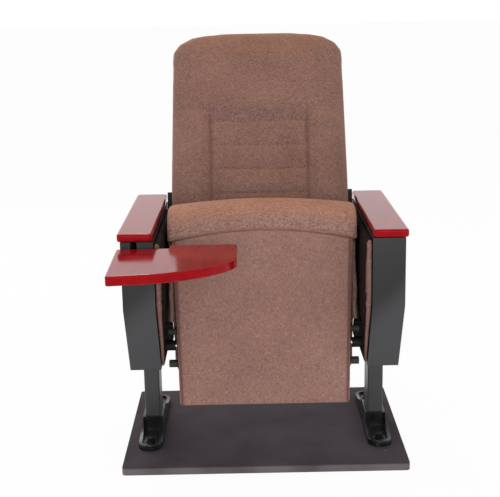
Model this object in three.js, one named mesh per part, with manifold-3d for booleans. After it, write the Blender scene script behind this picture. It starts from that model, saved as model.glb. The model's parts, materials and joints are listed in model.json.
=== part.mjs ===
// Tip-up auditorium seat on a base board, with a writing tablet that comes out of the left standard.
// Millimetres, +Z up, the sitter looks along -Y. The origin is the centre of the base board's underside.
import * as THREE from 'three';
import { mergeVertices } from 'three/addons/utils/BufferGeometryUtils.js';
import Module from 'manifold-3d';

const wasm = await Module();
wasm.setup();

// Angles
const degree = Math.PI / 180;
const seatLean = 3 * degree;
const seatTravel = 87 * degree;
const backRecline = 14 * degree;

// Clearances
const fitGap = 0.3;
const softGap = 1.2;
const overrun = 2;

// Standards: one foot, column, cover and pair of side boards on each side; heights are above the base board
const standardX = 275;
const standardWidth = 72;
const columnShift = 7;
const columnX = standardX + columnShift;
const baseThick = 21;
const columnWidth = 38;
const columnDepth = 80;
const columnWall = 2;
const armrestHeight = 579;
const armrestTopZ = baseThick + armrestHeight;
const armrestThick = 18;
const armrestWidth = 78.5;
const armrestShift = 4.3;
const armrestX = standardX + armrestShift;
const armrestFrontY = -325;
const armrestRearY = 159;
const coverSheet = 1.5;
const coverFlange = 32;
const sideTopZ = armrestTopZ - armrestThick - fitGap;
const sideKinkHeight = 406;
const sideKinkZ = baseThick + sideKinkHeight;
const sideBottomHeight = 236;
const sideBottomZ = baseThick + sideBottomHeight;
const sideFrontY = armrestFrontY;
const sideBottomFrontY = -234;
const sideBottomRearY = 74;
const sideRearY = 157;
const sideRearKinkHeight = 512;
const sideRearKinkZ = baseThick + sideRearKinkHeight;
const padThick = 14;
const padFrontInset = 4;
const padEdgeInset = 3;
const padRearInset = 125;

// Base board: its width follows the two standards
const baseMargin = 58.5;
const baseWidth = 2 * (columnX + baseMargin);
const baseDepth = 503;

// Seat: its own frame stands at the pivot, with Z towards the front edge and Y towards the sitter
const pivotY = -195;
const pivotHeight = 282;
const pivotZ = baseThick + pivotHeight;
const pinRadius = 6;
const seatTopZ = 338;
const seatSeamZ = 274;
const seatTailZ = -140;
const seatRearZ = -72;
const cushionHalfWidth = 216.5;
const cushionWaist = 211;
const cushionFaceY = 100;
const panelTopWidth = 404;
const panelBottomWidth = 395;
const panelFaceY = -26;
const panelThick = 12;
const seatBoardThick = 12;
const crossTube = 25;
const hingePlateX = 203;
const hingePlateThick = 4;
const stopArm = 44;
const restArm = 34;
const pegRadius = 5;
const stopBufferRadius = 9;
const restBufferRadius = 7.5;
const bracketInnerX = 214;
const bossInnerX = 207;

// Back: its own frame stands at the board's lower edge, with Z up the slope and Y to the rear
const backY = 35;
const backLift = 312;
const backZ = baseThick + backLift;
const backHeight = 690;
const backWaistZ = 280;
const backBottomHalfWidth = 217.5;
const backWaistHalfWidth = 224.5;
const backTopHalfWidth = 212.5;
const backBoardThick = 12;
const backFoam = 66;
const backSeamX = 120;
const backChannelPitch = 60;
const backChannelTopZ = 458;
const backChannelCount = 7;
const shellDepth = 26;
const shellWall = 4;

// Writing tablet, its arm and the lid over the arm
const tabletHeight = 548;
const tabletTopZ = baseThick + tabletHeight;
const tabletThick = 20.5;
const tabletWidth = 262;
const tabletDepth = 234;
const tabletRearY = -330;
const tabletStepDepth = 30;
const tabletStepClear = 3;
const armPivotY = -288;
const armPivotHeight = 546;
const armPivotZ = baseThick + armPivotHeight;
const armThick = 8;
const armRodRadius = 6.5;
const knuckleRadius = 9.7;
const hingeLeafThick = 3;
const tabletAxisZ = tabletTopZ - tabletThick - fitGap - knuckleRadius;
const lidSetBack = 7;
const lidPivotY = armrestRearY + lidSetBack;
const lidPivotZ = sideTopZ - fitGap;

// Finishes
const materials = {
  fabric: { color: 0x8c6961, roughness: 0.95, metalness: 0 },
  redLacquer: { color: 0x8f1418, roughness: 0.2, metalness: 0 },
  satinSheet: { color: 0x4b4b4d, roughness: 0.5, metalness: 0.2 },
  laminate: { color: 0x3c3c3e, roughness: 0.55, metalness: 0 },
  columnPaint: { color: 0x464648, roughness: 0.45, metalness: 0.2 },
  blackCasting: { color: 0x151517, roughness: 0.25, metalness: 0.3 },
  baseMat: { color: 0x443c41, roughness: 0.9, metalness: 0 },
  plywood: { color: 0xa98357, roughness: 0.75, metalness: 0 },
  blackSteel: { color: 0x1d1d1f, roughness: 0.45, metalness: 0.6 },
  brightSteel: { color: 0xa7a9ab, roughness: 0.3, metalness: 1 },
  rubber: { color: 0x55554c, roughness: 0.85, metalness: 0 },
  shellPlastic: { color: 0x2a2a2c, roughness: 0.55, metalness: 0 },
};

const seat = new THREE.Group();
seat.name = 'tip_up_auditorium_seat';

function addPart(name, geometry, finish, parent = seat) {
  const material = new THREE.MeshStandardMaterial(materials[finish]);
  const mesh = new THREE.Mesh(geometry, material);
  mesh.name = name;
  parent.add(mesh);
  return mesh;
}

// Geometry helpers

function welded(geometry) {
  const copy = geometry.clone();
  copy.deleteAttribute('normal');
  copy.deleteAttribute('uv');
  return mergeVertices(copy);
}

function signedVolume(positions, index) {
  const [a, b, c] = [new THREE.Vector3(), new THREE.Vector3(), new THREE.Vector3()];
  let sum = 0;
  for (let i = 0; i < index.length; i += 3) {
    a.fromArray(positions, 3 * index[i]);
    b.fromArray(positions, 3 * index[i + 1]);
    c.fromArray(positions, 3 * index[i + 2]);
    sum += a.dot(b.cross(c)) / 6;
  }
  return sum;
}

function meshOf(positions, index) {
  const outward = signedVolume(positions, index) > 0;
  const turned = outward ? index : index.map((_, i) => index[i - (i % 3) + 2 - (i % 3)]);
  const geometry = new THREE.BufferGeometry();
  geometry.setAttribute('position', new THREE.Float32BufferAttribute(positions, 3));
  geometry.setIndex(turned);
  geometry.computeVertexNormals();
  return geometry;
}

function toSolid(geometry) {
  const source = welded(geometry);
  return new wasm.Manifold(new wasm.Mesh({
    numProp: 3,
    vertProperties: new Float32Array(source.attributes.position.array),
    triVerts: new Uint32Array(source.index.array),
  }));
}

function fromSolid(solid) {
  const mesh = solid.getMesh();
  return meshOf(Array.from(mesh.vertProperties), Array.from(mesh.triVerts));
}

function joined(first, ...others) {
  return fromSolid(others.reduce((body, other) => body.add(toSolid(other)), toSolid(first)));
}

function cut(first, ...tools) {
  return fromSolid(tools.reduce((body, tool) => body.subtract(toSolid(tool)), toSolid(first)));
}

function kept(first, tool) {
  return fromSolid(toSolid(first).intersect(toSolid(tool)));
}

function mirrored(geometry) {
  const source = welded(geometry);
  const positions = Array.from(source.attributes.position.array);
  const flipped = positions.map((value, i) => (i % 3 === 0 ? -value : value));
  return meshOf(flipped, Array.from(source.index.array));
}

function onSide(side, geometry) {
  return side > 0 ? geometry : mirrored(geometry);
}

function moved(geometry, x, y, z) {
  return geometry.clone().translate(x, y, z);
}

function box(x0, x1, y0, y1, z0, z1) {
  const block = new THREE.BoxGeometry(x1 - x0, y1 - y0, z1 - z0);
  return block.translate((x0 + x1) / 2, (y0 + y1) / 2, (z0 + z1) / 2);
}

// A rod along X, Y or Z from one coordinate to another
function rod(axis, radius, from, to, a, b, sides = 20) {
  const geometry = new THREE.CylinderGeometry(radius, radius, to - from, sides);
  const middle = (from + to) / 2;
  if (axis === 'x') return geometry.rotateZ(-Math.PI / 2).translate(middle, a, b);
  if (axis === 'y') return geometry.translate(a, middle, b);
  return geometry.rotateX(Math.PI / 2).translate(a, b, middle);
}

// A closed outline with its corners rounded
function roundedShape(points, radii) {
  const shape = new THREE.Shape();
  const count = points.length;
  points.forEach(([x, y], i) => {
    const corner = new THREE.Vector2(x, y);
    const before = new THREE.Vector2(...points[(i + count - 1) % count]).sub(corner);
    const after = new THREE.Vector2(...points[(i + 1) % count]).sub(corner);
    const half = Math.abs(before.angleTo(after)) / 2;
    const radius = Array.isArray(radii) ? radii[i] : radii;
    const reach = radius / Math.tan(half);
    const start = corner.clone().addScaledVector(before.normalize(), reach);
    const end = corner.clone().addScaledVector(after.normalize(), reach);
    if (i === 0) shape.moveTo(start.x, start.y);
    else shape.lineTo(start.x, start.y);
    if (radius > 0) shape.quadraticCurveTo(corner.x, corner.y, end.x, end.y);
  });
  shape.closePath();
  return shape;
}

function rectangle(width, depth) {
  return [[-width / 2, -depth / 2], [width / 2, -depth / 2], [width / 2, depth / 2], [-width / 2, depth / 2]];
}

// A slab of a shape, lying in XY from z0 to z1, with its edges eased
function slab(shape, z0, z1, ease = 0, easeSteps = 2, curveSegments = 5) {
  const geometry = new THREE.ExtrudeGeometry(shape, {
    depth: z1 - z0 - 2 * ease,
    bevelEnabled: ease > 0,
    bevelThickness: ease,
    bevelSize: ease,
    bevelOffset: -ease,
    bevelSegments: easeSteps,
    curveSegments,
  });
  return geometry.translate(0, 0, z0 + ease);
}

// The same slab, with the shape in YZ and its thickness along X
function sidePlate(shape, x0, x1, ease = 0, easeSteps = 1) {
  const turn = new THREE.Matrix4().makeBasis(
    new THREE.Vector3(0, 1, 0), new THREE.Vector3(0, 0, 1), new THREE.Vector3(1, 0, 0));
  return slab(shape, x0, x1, ease, easeSteps).applyMatrix4(turn);
}

// The same slab, with the shape in XZ and its thickness along Y
function facePlate(shape, y0, y1, ease = 0, easeSteps = 1) {
  return slab(shape, -y1, -y0, ease, easeSteps).rotateX(Math.PI / 2);
}

// Moves each edge of a convex anticlockwise outline inwards, by one distance or by one for each edge
function inset(points, distances) {
  const count = points.length;
  const edges = points.map(([x, y], i) => {
    const [nextX, nextY] = points[(i + 1) % count];
    const along = new THREE.Vector2(nextX - x, nextY - y).normalize();
    const distance = Array.isArray(distances) ? distances[i] : distances;
    const start = new THREE.Vector2(x - along.y * distance, y + along.x * distance);
    return { start, along };
  });
  return edges.map((edge, i) => {
    const last = edges[(i + count - 1) % count];
    const across = last.along.cross(edge.along);
    if (Math.abs(across) < Number.EPSILON * count) return edge.start.toArray();
    const travel = edge.start.clone().sub(last.start).cross(edge.along) / across;
    return last.start.clone().addScaledVector(last.along, travel).toArray();
  });
}

// A solid through rings that all have the same number of points, with flat ends
function loft(rings) {
  const count = rings[0].length;
  const positions = rings.flat().flatMap((point) => point.toArray());
  const index = [];
  for (let r = 0; r + 1 < rings.length; r += 1) {
    for (let i = 0; i < count; i += 1) {
      const a = r * count + i;
      const b = r * count + ((i + 1) % count);
      index.push(a, b, b + count, a, b + count, a + count);
    }
  }
  const addEnd = (ring, offset, alongRing) => {
    const extent = new THREE.Box3().setFromPoints(ring).getSize(new THREE.Vector3()).toArray();
    const dropped = extent.indexOf(Math.min(...extent));
    const outline = ring.map((p) => new THREE.Vector2(...p.toArray().filter((_, axis) => axis !== dropped)));
    const outlineArea = THREE.ShapeUtils.area(outline);
    THREE.ShapeUtils.triangulateShape(outline, []).forEach(([a, b, c]) => {
      const follows = THREE.ShapeUtils.area([outline[a], outline[b], outline[c]]) * outlineArea > 0;
      const face = follows === alongRing ? [a, b, c] : [a, c, b];
      index.push(...face.map((i) => i + offset));
    });
  };
  addEnd(rings[0], 0, false);
  addEnd(rings[rings.length - 1], (rings.length - 1) * count, true);
  return meshOf(positions, index);
}

function smooth(value) {
  const t = THREE.MathUtils.clamp(value, 0, 1);
  return t * t * (3 - 2 * t);
}

// A groove of unit depth, as wide as its reach
function groove(distance, reach) {
  return Math.exp(-((distance / reach) ** 2));
}

// Base board and feet

const footLength = 350;
const footWidth = 60;
const footShiftY = 15;
const footHeight = 44;
const footToeHeight = 13;
const footFloor = 7;
const footWall = 6;
const footDraft = 5;
const boltInset = 42;
const boltRadius = 5;
const boltDepth = 14;
const boltReach = footLength / 2 - boltInset;
const boltPlaces = { front: footShiftY - boltReach, rear: footShiftY + boltReach };

function baseBoard() {
  const cornerRadius = 10;
  const edgeEase = 2.5;
  const top = slab(roundedShape(rectangle(baseWidth, baseDepth), cornerRadius), 0, baseThick, edgeEase);
  const holes = [-1, 1].flatMap((side) => Object.values(boltPlaces).map((y) => (
    rod('z', boltRadius + fitGap, baseThick - boltDepth - fitGap, baseThick + overrun, side * columnX, y))));
  return cut(top, ...holes);
}

// A long oval ring with round ends
function ovalRing(width, length, y, z) {
  const steps = 10;
  const points = [];
  [1, -1].forEach((end) => {
    for (let i = 0; i <= steps; i += 1) {
      const angle = Math.PI * (i / steps) + (end > 0 ? 0 : Math.PI);
      const across = (width / 2) * Math.cos(angle);
      const along = (width / 2) * Math.sin(angle) + end * ((length - width) / 2);
      points.push(new THREE.Vector3(across, y + along, z));
    }
  });
  return points;
}

// A cast foot: walls that rise from each toe to a collar, a trough for each bolt, a socket for the column
function foot() {
  const shoulder = columnDepth / 2 + footWall;
  const half = footLength / 2;
  const toeRiseShare = 0.45;
  const bossRadius = 13;
  const bossHeight = 2.5;
  const outer = loft([
    ovalRing(footWidth, footLength, 0, 0),
    ovalRing(footWidth, footLength, 0, footFloor / 2),
    ovalRing(footWidth - 2 * footDraft, footLength - 2 * footDraft, 0, footHeight),
  ]);
  const side = new THREE.Shape();
  const riseStart = half * (1 - toeRiseShare / 3);
  const riseBend = half * (1 - toeRiseShare);
  side.moveTo(-half - overrun, 0);
  side.lineTo(half + overrun, 0);
  side.lineTo(half + overrun, footToeHeight);
  side.lineTo(riseStart, footToeHeight);
  side.quadraticCurveTo(riseBend, footToeHeight, shoulder - footShiftY, footHeight);
  side.lineTo(-shoulder - footShiftY, footHeight);
  side.quadraticCurveTo(-riseBend, footToeHeight, -riseStart, footToeHeight);
  side.lineTo(-half - overrun, footToeHeight);
  const body = kept(outer, sidePlate(side, -footWidth, footWidth));
  const troughs = [-1, 1].map((end) => {
    const inner = shoulder - end * footShiftY;
    const outerEnd = half - footWall;
    const width = footWidth - 2 * (footWall + footDraft / 2);
    const length = outerEnd - inner + width / 2;
    const y = end * (outerEnd - length / 2);
    return loft([
      ovalRing(width - footDraft, length - footDraft, y, footFloor),
      ovalRing(width + footDraft, length + footDraft, y, footHeight + overrun),
    ]);
  });
  const halfX = columnWidth / 2 + fitGap;
  const halfY = columnDepth / 2 + fitGap;
  const collar = box(-halfX - footWall / 2, halfX + footWall / 2, -shoulder - footShiftY,
    shoulder - footShiftY, footFloor / 2, footHeight);
  const socket = box(-halfX, halfX, -halfY - footShiftY, halfY - footShiftY, footFloor, footHeight + overrun);
  const bosses = Object.values(boltPlaces).map((y) => (
    rod('z', bossRadius, footFloor / 2, footFloor + bossHeight, 0, y - footShiftY)));
  const holes = Object.values(boltPlaces).map((y) => (
    rod('z', boltRadius + fitGap, -overrun, footHeight, 0, y - footShiftY)));
  const hollow = cut(body, ...troughs);
  return cut(joined(hollow, kept(collar, outer), ...bosses), socket, ...holes);
}

function anchorBolt() {
  const washerRadius = 10.5;
  const washerThick = 2;
  const headRadius = 9;
  const headHeight = 6.5;
  const bossTop = 9.5;
  const under = baseThick + fitGap + bossTop + fitGap;
  return joined(
    rod('z', boltRadius, baseThick - boltDepth, under + washerThick, 0, 0, 16),
    rod('z', washerRadius, under, under + washerThick, 0, 0, 24),
    rod('z', headRadius, under + washerThick / 2, under + washerThick + headHeight, 0, 0, 6),
  );
}

// Columns, covers and side boards

function column() {
  const corner = 4;
  const bottom = baseThick + 2 * fitGap + footFloor;
  const top = sideTopZ - fitGap;
  const outside = roundedShape(rectangle(columnWidth, columnDepth), corner);
  const inside = rectangle(columnWidth - 2 * columnWall, columnDepth - 2 * columnWall);
  const bore = slab(roundedShape(inside, corner - columnWall), bottom - overrun, top + overrun);
  return cut(slab(outside, bottom, top), bore);
}

const sideOutline = [
  [sideFrontY, sideTopZ],
  [sideFrontY, sideKinkZ],
  [sideBottomFrontY, sideBottomZ],
  [sideBottomRearY, sideBottomZ],
  [sideRearY, sideRearKinkZ],
  [sideRearY, sideTopZ],
];
const sideCornerRadii = [4, 20, 4, 18, 24, 3];
const coverSlotWidth = 14;
const coverSlotBottomZ = tabletAxisZ - knuckleRadius;
const boardFaceX = standardX - standardWidth / 2;
const pocketHalfWidth = columnWidth / 2 + fitGap;

// The folded front cover: a sheet that wraps the front edges of both side boards
function frontCover(side) {
  const half = standardWidth / 2;
  const open = overrun;
  const flangeShift = [coverFlange, coverFlange, 0, 0, 0, 0];
  const band = (distance) => {
    const front = inset(sideOutline, [distance, distance, 0, 0, 0, 0]);
    return [front[0], front[1], front[2]];
  };
  const rear = inset(sideOutline, flangeShift);
  const outerBand = [...band(0), rear[2], rear[1], rear[0]];
  const innerFront = band(coverSheet);
  const innerRear = [rear[2], rear[1], rear[0]].map(([y, z]) => [y + open, z]);
  const stretched = [...innerFront, ...innerRear].map(([y, z], i) => {
    if (i === 0 || i === 5) return [y, z + open];
    if (i === 2 || i === 3) return [y + open / 2, z - open];
    return [y, z];
  });
  const outer = sidePlate(roundedShape(outerBand, 0), -half, half);
  const inner = sidePlate(roundedShape(stretched, 0), coverSheet - half, half - coverSheet);
  const shell = cut(outer, inner);
  if (side > 0) return shell;
  const slot = box(-columnShift - coverSlotWidth / 2, -columnShift + coverSlotWidth / 2, sideFrontY - overrun,
    sideFrontY + coverFlange / 2, coverSlotBottomZ, sideTopZ + overrun);
  return cut(shell, slot);
}

// A side board, rebated where the cover's flange lies on it. Its covered face is at X 0
const innerBoardThick = standardWidth / 2 + columnShift - pocketHalfWidth;
const outerBoardThick = standardWidth / 2 - columnShift - pocketHalfWidth;
function sideBoard(thick) {
  const outline = inset(sideOutline, coverSheet + fitGap);
  const plate = sidePlate(roundedShape(outline, sideCornerRadii), 0, thick);
  const clear = coverFlange + fitGap;
  const rear = inset(sideOutline, [clear, clear, 0, 0, 0, 0]);
  const rebate = [[sideFrontY - overrun, sideTopZ + overrun], [sideFrontY - overrun, sideKinkZ],
    [sideBottomFrontY - overrun, sideBottomZ - overrun], [rear[2][0], sideBottomZ - overrun],
    rear[2], rear[1], rear[0], [rear[0][0], sideTopZ + overrun]];
  return cut(plate, sidePlate(roundedShape(rebate, 0), -overrun, coverSheet + fitGap));
}

// An upholstered pad: a flat slab with a tightly rolled edge, thinner towards its lower edge
const padTopRadius = 6;
const padKneeRadius = 28;
const padLowRadius = 14;
const padTailRadius = 10;
function sidePad() {
  const insets = [padFrontInset, padFrontInset, padEdgeInset, padRearInset, padRearInset, padEdgeInset];
  const radii = [padTopRadius, padKneeRadius, padLowRadius, padTailRadius, padTopRadius];
  const rearKink = 4;
  const base = inset(sideOutline, insets).filter((_, i) => i !== rearKink);
  const top = base[0][1];
  const bottom = base[2][1];
  const insetShares = [0, 0, 0.04, 0.16, 0.38, 0.7];
  const heightShares = [0, 0.4, 0.7, 0.88, 0.97, 1];
  const taperShare = 0.55;
  const lowThickShare = 0.55;
  const rings = insetShares.map((share, k) => {
    const drawn = inset(base, share * padThick);
    const outline = roundedShape(drawn, radii.map((radius) => radius * (1 - share / 2))).getPoints(5);
    outline.pop();
    return outline.map((p) => {
      const rise = smooth((p.y - bottom) / ((top - bottom) * taperShare));
      const thickShare = k === 0 ? 1 : lowThickShare + (1 - lowThickShare) * rise;
      return new THREE.Vector3(-padThick * heightShares[k] * thickShare, p.x, p.y);
    });
  });
  return loft(rings);
}

function edgeRailFront() {
  const height = 20;
  const lift = coverSheet + fitGap;
  const front = inset(sideOutline, lift);
  const kinkShare = height / (sideKinkZ - sideBottomZ);
  const lean = (sideBottomFrontY - sideFrontY) * kinkShare;
  const rear = -columnDepth / 2 - fitGap;
  const outline = [[front[2][0], front[2][1]], [rear, front[2][1]], [rear, front[2][1] + height],
    [front[2][0] - lean, front[2][1] + height]];
  return sidePlate(roundedShape(outline, 0), fitGap - pocketHalfWidth, pocketHalfWidth - fitGap);
}

function edgeRailRear() {
  const width = 20;
  const outer = inset(sideOutline, coverSheet + fitGap);
  const inner = inset(sideOutline, coverSheet + fitGap + width);
  const front = columnDepth / 2 + fitGap;
  const top = outer[5][1];
  const outline = [[front, outer[3][1]], outer[3], outer[4], outer[5], [inner[4][0], top], inner[4], inner[3],
    [front, inner[3][1]]];
  return sidePlate(roundedShape(outline, 0), fitGap - pocketHalfWidth, pocketHalfWidth - fitGap);
}

function armrest() {
  const corner = 10;
  const ease = 5;
  const length = armrestRearY - armrestFrontY;
  const shape = roundedShape(rectangle(armrestWidth, length), corner);
  const top = slab(shape, armrestTopZ - armrestThick, armrestTopZ, ease, 3);
  return top.translate(0, (armrestFrontY + armrestRearY) / 2, 0);
}

// Tip-up mechanism

const pocketGap = 1;
const rotated = (y, z, angle) => [
  y * Math.cos(angle) - z * Math.sin(angle),
  y * Math.sin(angle) + z * Math.cos(angle),
];
const stopAtRest = rotated(0, -stopArm, -seatLean);
const stopWhenDown = rotated(...stopAtRest, seatTravel);
const restPegY = -2.5;
const restAtRest = rotated(restPegY, restArm, -seatLean);

// Outline of the fixed bracket about the pivot: the upper block stops the seat when it is up, and the
// rear lug stops it when it is down
const boss = 12;
const blockWidth = 28;
const blockTop = 48;
const lugHeight = 16;
const blockFrontY = restAtRest[0] + restBufferRadius + fitGap;
const lugUnderZ = stopWhenDown[1] + stopBufferRadius + fitGap;
const lugRearY = stopWhenDown[0] + stopBufferRadius + fitGap;
const bracketOutline = [
  [blockFrontY, blockTop],
  [blockFrontY, boss],
  [-boss, boss / 2],
  [-boss, -boss / 4],
  [boss, -boss / 4],
  [stopWhenDown[0] - stopBufferRadius - boss / 2, lugUnderZ],
  [lugRearY, lugUnderZ],
  [lugRearY, lugUnderZ + lugHeight],
  [blockFrontY + blockWidth, blockTop],
];

function pivotBracket() {
  const corner = 2;
  const plate = roundedShape(bracketOutline, corner);
  const back = boardFaceX - fitGap;
  const boreEnd = back - padThick / 4;
  const bore = rod('x', pinRadius + fitGap / 2, bossInnerX - overrun, boreEnd, pivotY, pivotZ, 24);
  const place = (geometry) => moved(geometry, 0, pivotY, pivotZ);
  const body = place(sidePlate(plate, bracketInnerX, back));
  return cut(joined(body, rod('x', boss, bossInnerX, back, pivotY, pivotZ, 28)), bore);
}

function padCutout() {
  const [left, right] = [-boss - pocketGap, lugRearY + pocketGap];
  const [low, high] = [-boss - pocketGap, blockTop + pocketGap];
  return box(bracketInnerX - overrun, boardFaceX + overrun, pivotY + left, pivotY + right,
    pivotZ + low, pivotZ + high);
}

const pinInnerX = 172;
function pivotPin() {
  const headRadius = 8.5;
  const headThick = 3;
  const end = boardFaceX - fitGap - padThick / 4 - fitGap;
  return joined(
    rod('x', pinRadius, pinInnerX, end, pivotY, pivotZ, 24),
    rod('x', headRadius, pinInnerX, pinInnerX + headThick, pivotY, pivotZ, 24),
  );
}

const springWire = 1.6;
const springTurns = 5;
const springCoil = 9.5;
class SpringCurve extends THREE.Curve {
  getPoint(t, target = new THREE.Vector3()) {
    const start = pinInnerX + springWire * 3;
    const end = hingePlateX - hingePlateThick - springWire * 2;
    const angle = 2 * Math.PI * springTurns * t;
    return target.set(start + (end - start) * t, springCoil * Math.cos(angle), springCoil * Math.sin(angle));
  }
}

function returnSpring() {
  const path = new SpringCurve();
  const stepsPerTurn = 14;
  const sides = 5;
  const circle = Array.from({ length: sides }, (_, i) => {
    const angle = (2 * Math.PI * i) / sides;
    return new THREE.Vector2(springWire * Math.cos(angle), springWire * Math.sin(angle));
  });
  const steps = springTurns * stepsPerTurn;
  const centres = path.getPoints(steps);
  let gap = Infinity;
  centres.forEach((p, i) => centres.slice(i + stepsPerTurn / 2).forEach((q) => {
    gap = Math.min(gap, p.distanceTo(q) - 2 * springWire);
  }));
  console.error('least gap between the spring turns, in mm:', gap.toFixed(2));
  const settings = { steps, bevelEnabled: false, extrudePath: path };
  return new THREE.ExtrudeGeometry(new THREE.Shape(circle), settings);
}

// The moving hinge plate with its two stop pegs, in the seat's frame
function hingePlate() {
  const eye = 16;
  const half = 11.5;
  const outer = hingePlateX;
  const inner = hingePlateX - hingePlateThick;
  const pegEnd = boardFaceX - padThick - softGap - fitGap;
  const tubeTop = restArm + crossTube;
  const plate = sidePlate(roundedShape([[-half, -stopArm - half], [half, -stopArm - half], [half, tubeTop],
    [-half, tubeTop]], half / 2), inner, outer);
  const hub = rod('x', eye - pinRadius / 2, inner, outer, 0, 0, 24);
  const stopPeg = rod('x', pegRadius, inner, pegEnd, 0, -stopArm, 16);
  const restPeg = rod('x', pegRadius, inner, pegEnd, restPegY, restArm, 16);
  const bore = rod('x', pinRadius + fitGap, inner - overrun, outer + overrun, 0, 0, 24);
  return cut(joined(plate, hub, stopPeg, restPeg), bore);
}

function buffer(radius, y, z) {
  const start = hingePlateX + fitGap;
  const end = boardFaceX - padThick - softGap - 3 * fitGap;
  return cut(rod('x', radius, start, end, y, z, 24),
    rod('x', pegRadius + fitGap, start - overrun, end + overrun, y, z, 24));
}

const tubeLowZ = restArm - pegRadius;
function crossTubeBody() {
  const half = crossTube / 2;
  const length = hingePlateX - hingePlateThick - fitGap;
  const wall = 2;
  const corner = 3;
  const bore = crossTube - 2 * wall;
  const centre = tubeLowZ + half;
  const outside = sidePlate(roundedShape(rectangle(crossTube, crossTube), corner), -length, length);
  const inside = sidePlate(roundedShape(rectangle(bore, bore), corner - wall), -length - overrun,
    length + overrun);
  return moved(cut(outside, inside), 0, panelFaceY + panelThick + fitGap + half, centre);
}

// Seat boards and upholstery, in the seat's frame

const boardRearY = panelFaceY + panelThick + fitGap + crossTube + 2 * fitGap;
const boardHalfWidth = 196;
const railWidth = 24;
const railTopZ = 236;
const seamDrop = 25;
const crownDrop = 13;
const cornerClear = 10;
const waistTopZ = 62;
const waistRise = 38;

function acrossShare(x) {
  return (x / cushionHalfWidth) ** 2;
}

function seatBoard() {
  const corner = 12;
  const low = seatRearZ + cornerClear;
  const high = railTopZ;
  const half = boardHalfWidth;
  const outline = [[-half, low], [half, low], [half, high], [-half, high]];
  return facePlate(roundedShape(outline, corner), boardRearY, boardRearY + seatBoardThick);
}

function seatRail(side) {
  const inner = side * (boardHalfWidth - railWidth);
  const outer = side * boardHalfWidth;
  const tubeTop = tubeLowZ + crossTube + fitGap;
  return box(Math.min(inner, outer), Math.max(inner, outer), panelFaceY + panelThick + fitGap,
    boardRearY - fitGap, tubeTop, railTopZ);
}

function seatFrontRail() {
  const inner = boardHalfWidth - railWidth - fitGap;
  const front = panelFaceY + panelThick + fitGap;
  return box(-inner, inner, front, boardRearY - fitGap, railTopZ - railWidth, railTopZ);
}

// The flat panel under the seat, with its arched front edge
function undersidePanel() {
  const cornerRadius = 7;
  const ease = 3;
  const top = panelTopWidth / 2;
  const bottom = panelBottomWidth / 2;
  const endZ = seatSeamZ - seamDrop;
  const shape = new THREE.Shape();
  shape.moveTo(-bottom + cornerRadius, seatTailZ);
  shape.lineTo(bottom - cornerRadius, seatTailZ);
  shape.quadraticCurveTo(bottom, seatTailZ, bottom, seatTailZ + cornerRadius);
  shape.lineTo(top, endZ);
  shape.quadraticCurveTo(0, seatSeamZ + seamDrop, -top, endZ);
  shape.lineTo(-bottom, seatTailZ + cornerRadius);
  shape.quadraticCurveTo(-bottom, seatTailZ, -bottom + cornerRadius, seatTailZ);
  return slab(shape, -panelFaceY - panelThick, -panelFaceY, ease, 2, 8).rotateX(Math.PI / 2);
}

// Cushion section in YZ: the front roll wraps over the board's front edge
const cushionFrontY = boardRearY + seatBoardThick + fitGap;
const rollOverhang = 4;
const rollFaceY = panelFaceY - rollOverhang;
const rearRadius = 26;
const faceCrown = 10;
const bellyDepth = 4;
const rollSteps = 12;
const rearSteps = 4;
function cushionSection(x) {
  const seam = seatSeamZ + softGap - seamDrop * acrossShare(x);
  const top = seatTopZ - crownDrop * acrossShare(x);
  const face = cushionFaceY - faceCrown * acrossShare(x);
  const rear = seatRearZ;
  const rollDepth = face - rollFaceY;
  const rollWidthPower = 0.62;
  const rollHeightPower = 0.72;
  const rollHeelShare = 0.1;
  const points = [[cushionFrontY, rear + rearRadius / 3], [cushionFrontY, 0], [cushionFrontY, seam / 2],
    [cushionFrontY, seam - softGap], [panelFaceY + panelThick, seam], [panelFaceY, seam]];
  for (let i = 0; i <= rollSteps; i += 1) {
    const angle = Math.PI * (1 - i / rollSteps);
    const wide = Math.sign(Math.cos(angle)) * Math.abs(Math.cos(angle)) ** rollWidthPower;
    const y = rollFaceY + (rollDepth / 2) * (1 + wide);
    const low = angle > Math.PI / 2 ? seam + rollHeelShare * (top - seam) : seam;
    points.push([y, low + (top - low) * Math.sin(angle) ** rollHeightPower]);
  }
  const bodyShares = [0.88, 0.7, 0.5, 0.3, 0.12];
  bodyShares.forEach((share) => {
    const belly = bellyDepth * (Math.sin(Math.PI * share) - 1 / 2);
    points.push([face + belly, rear + share * (seam - rear)]);
  });
  for (let i = 1; i <= rearSteps; i += 1) {
    const angle = (Math.PI / 2) * (i / rearSteps);
    points.push([face - rearRadius * (1 - Math.cos(angle)), rear + rearRadius * (1 - Math.sin(angle))]);
  }
  return points;
}

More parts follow.
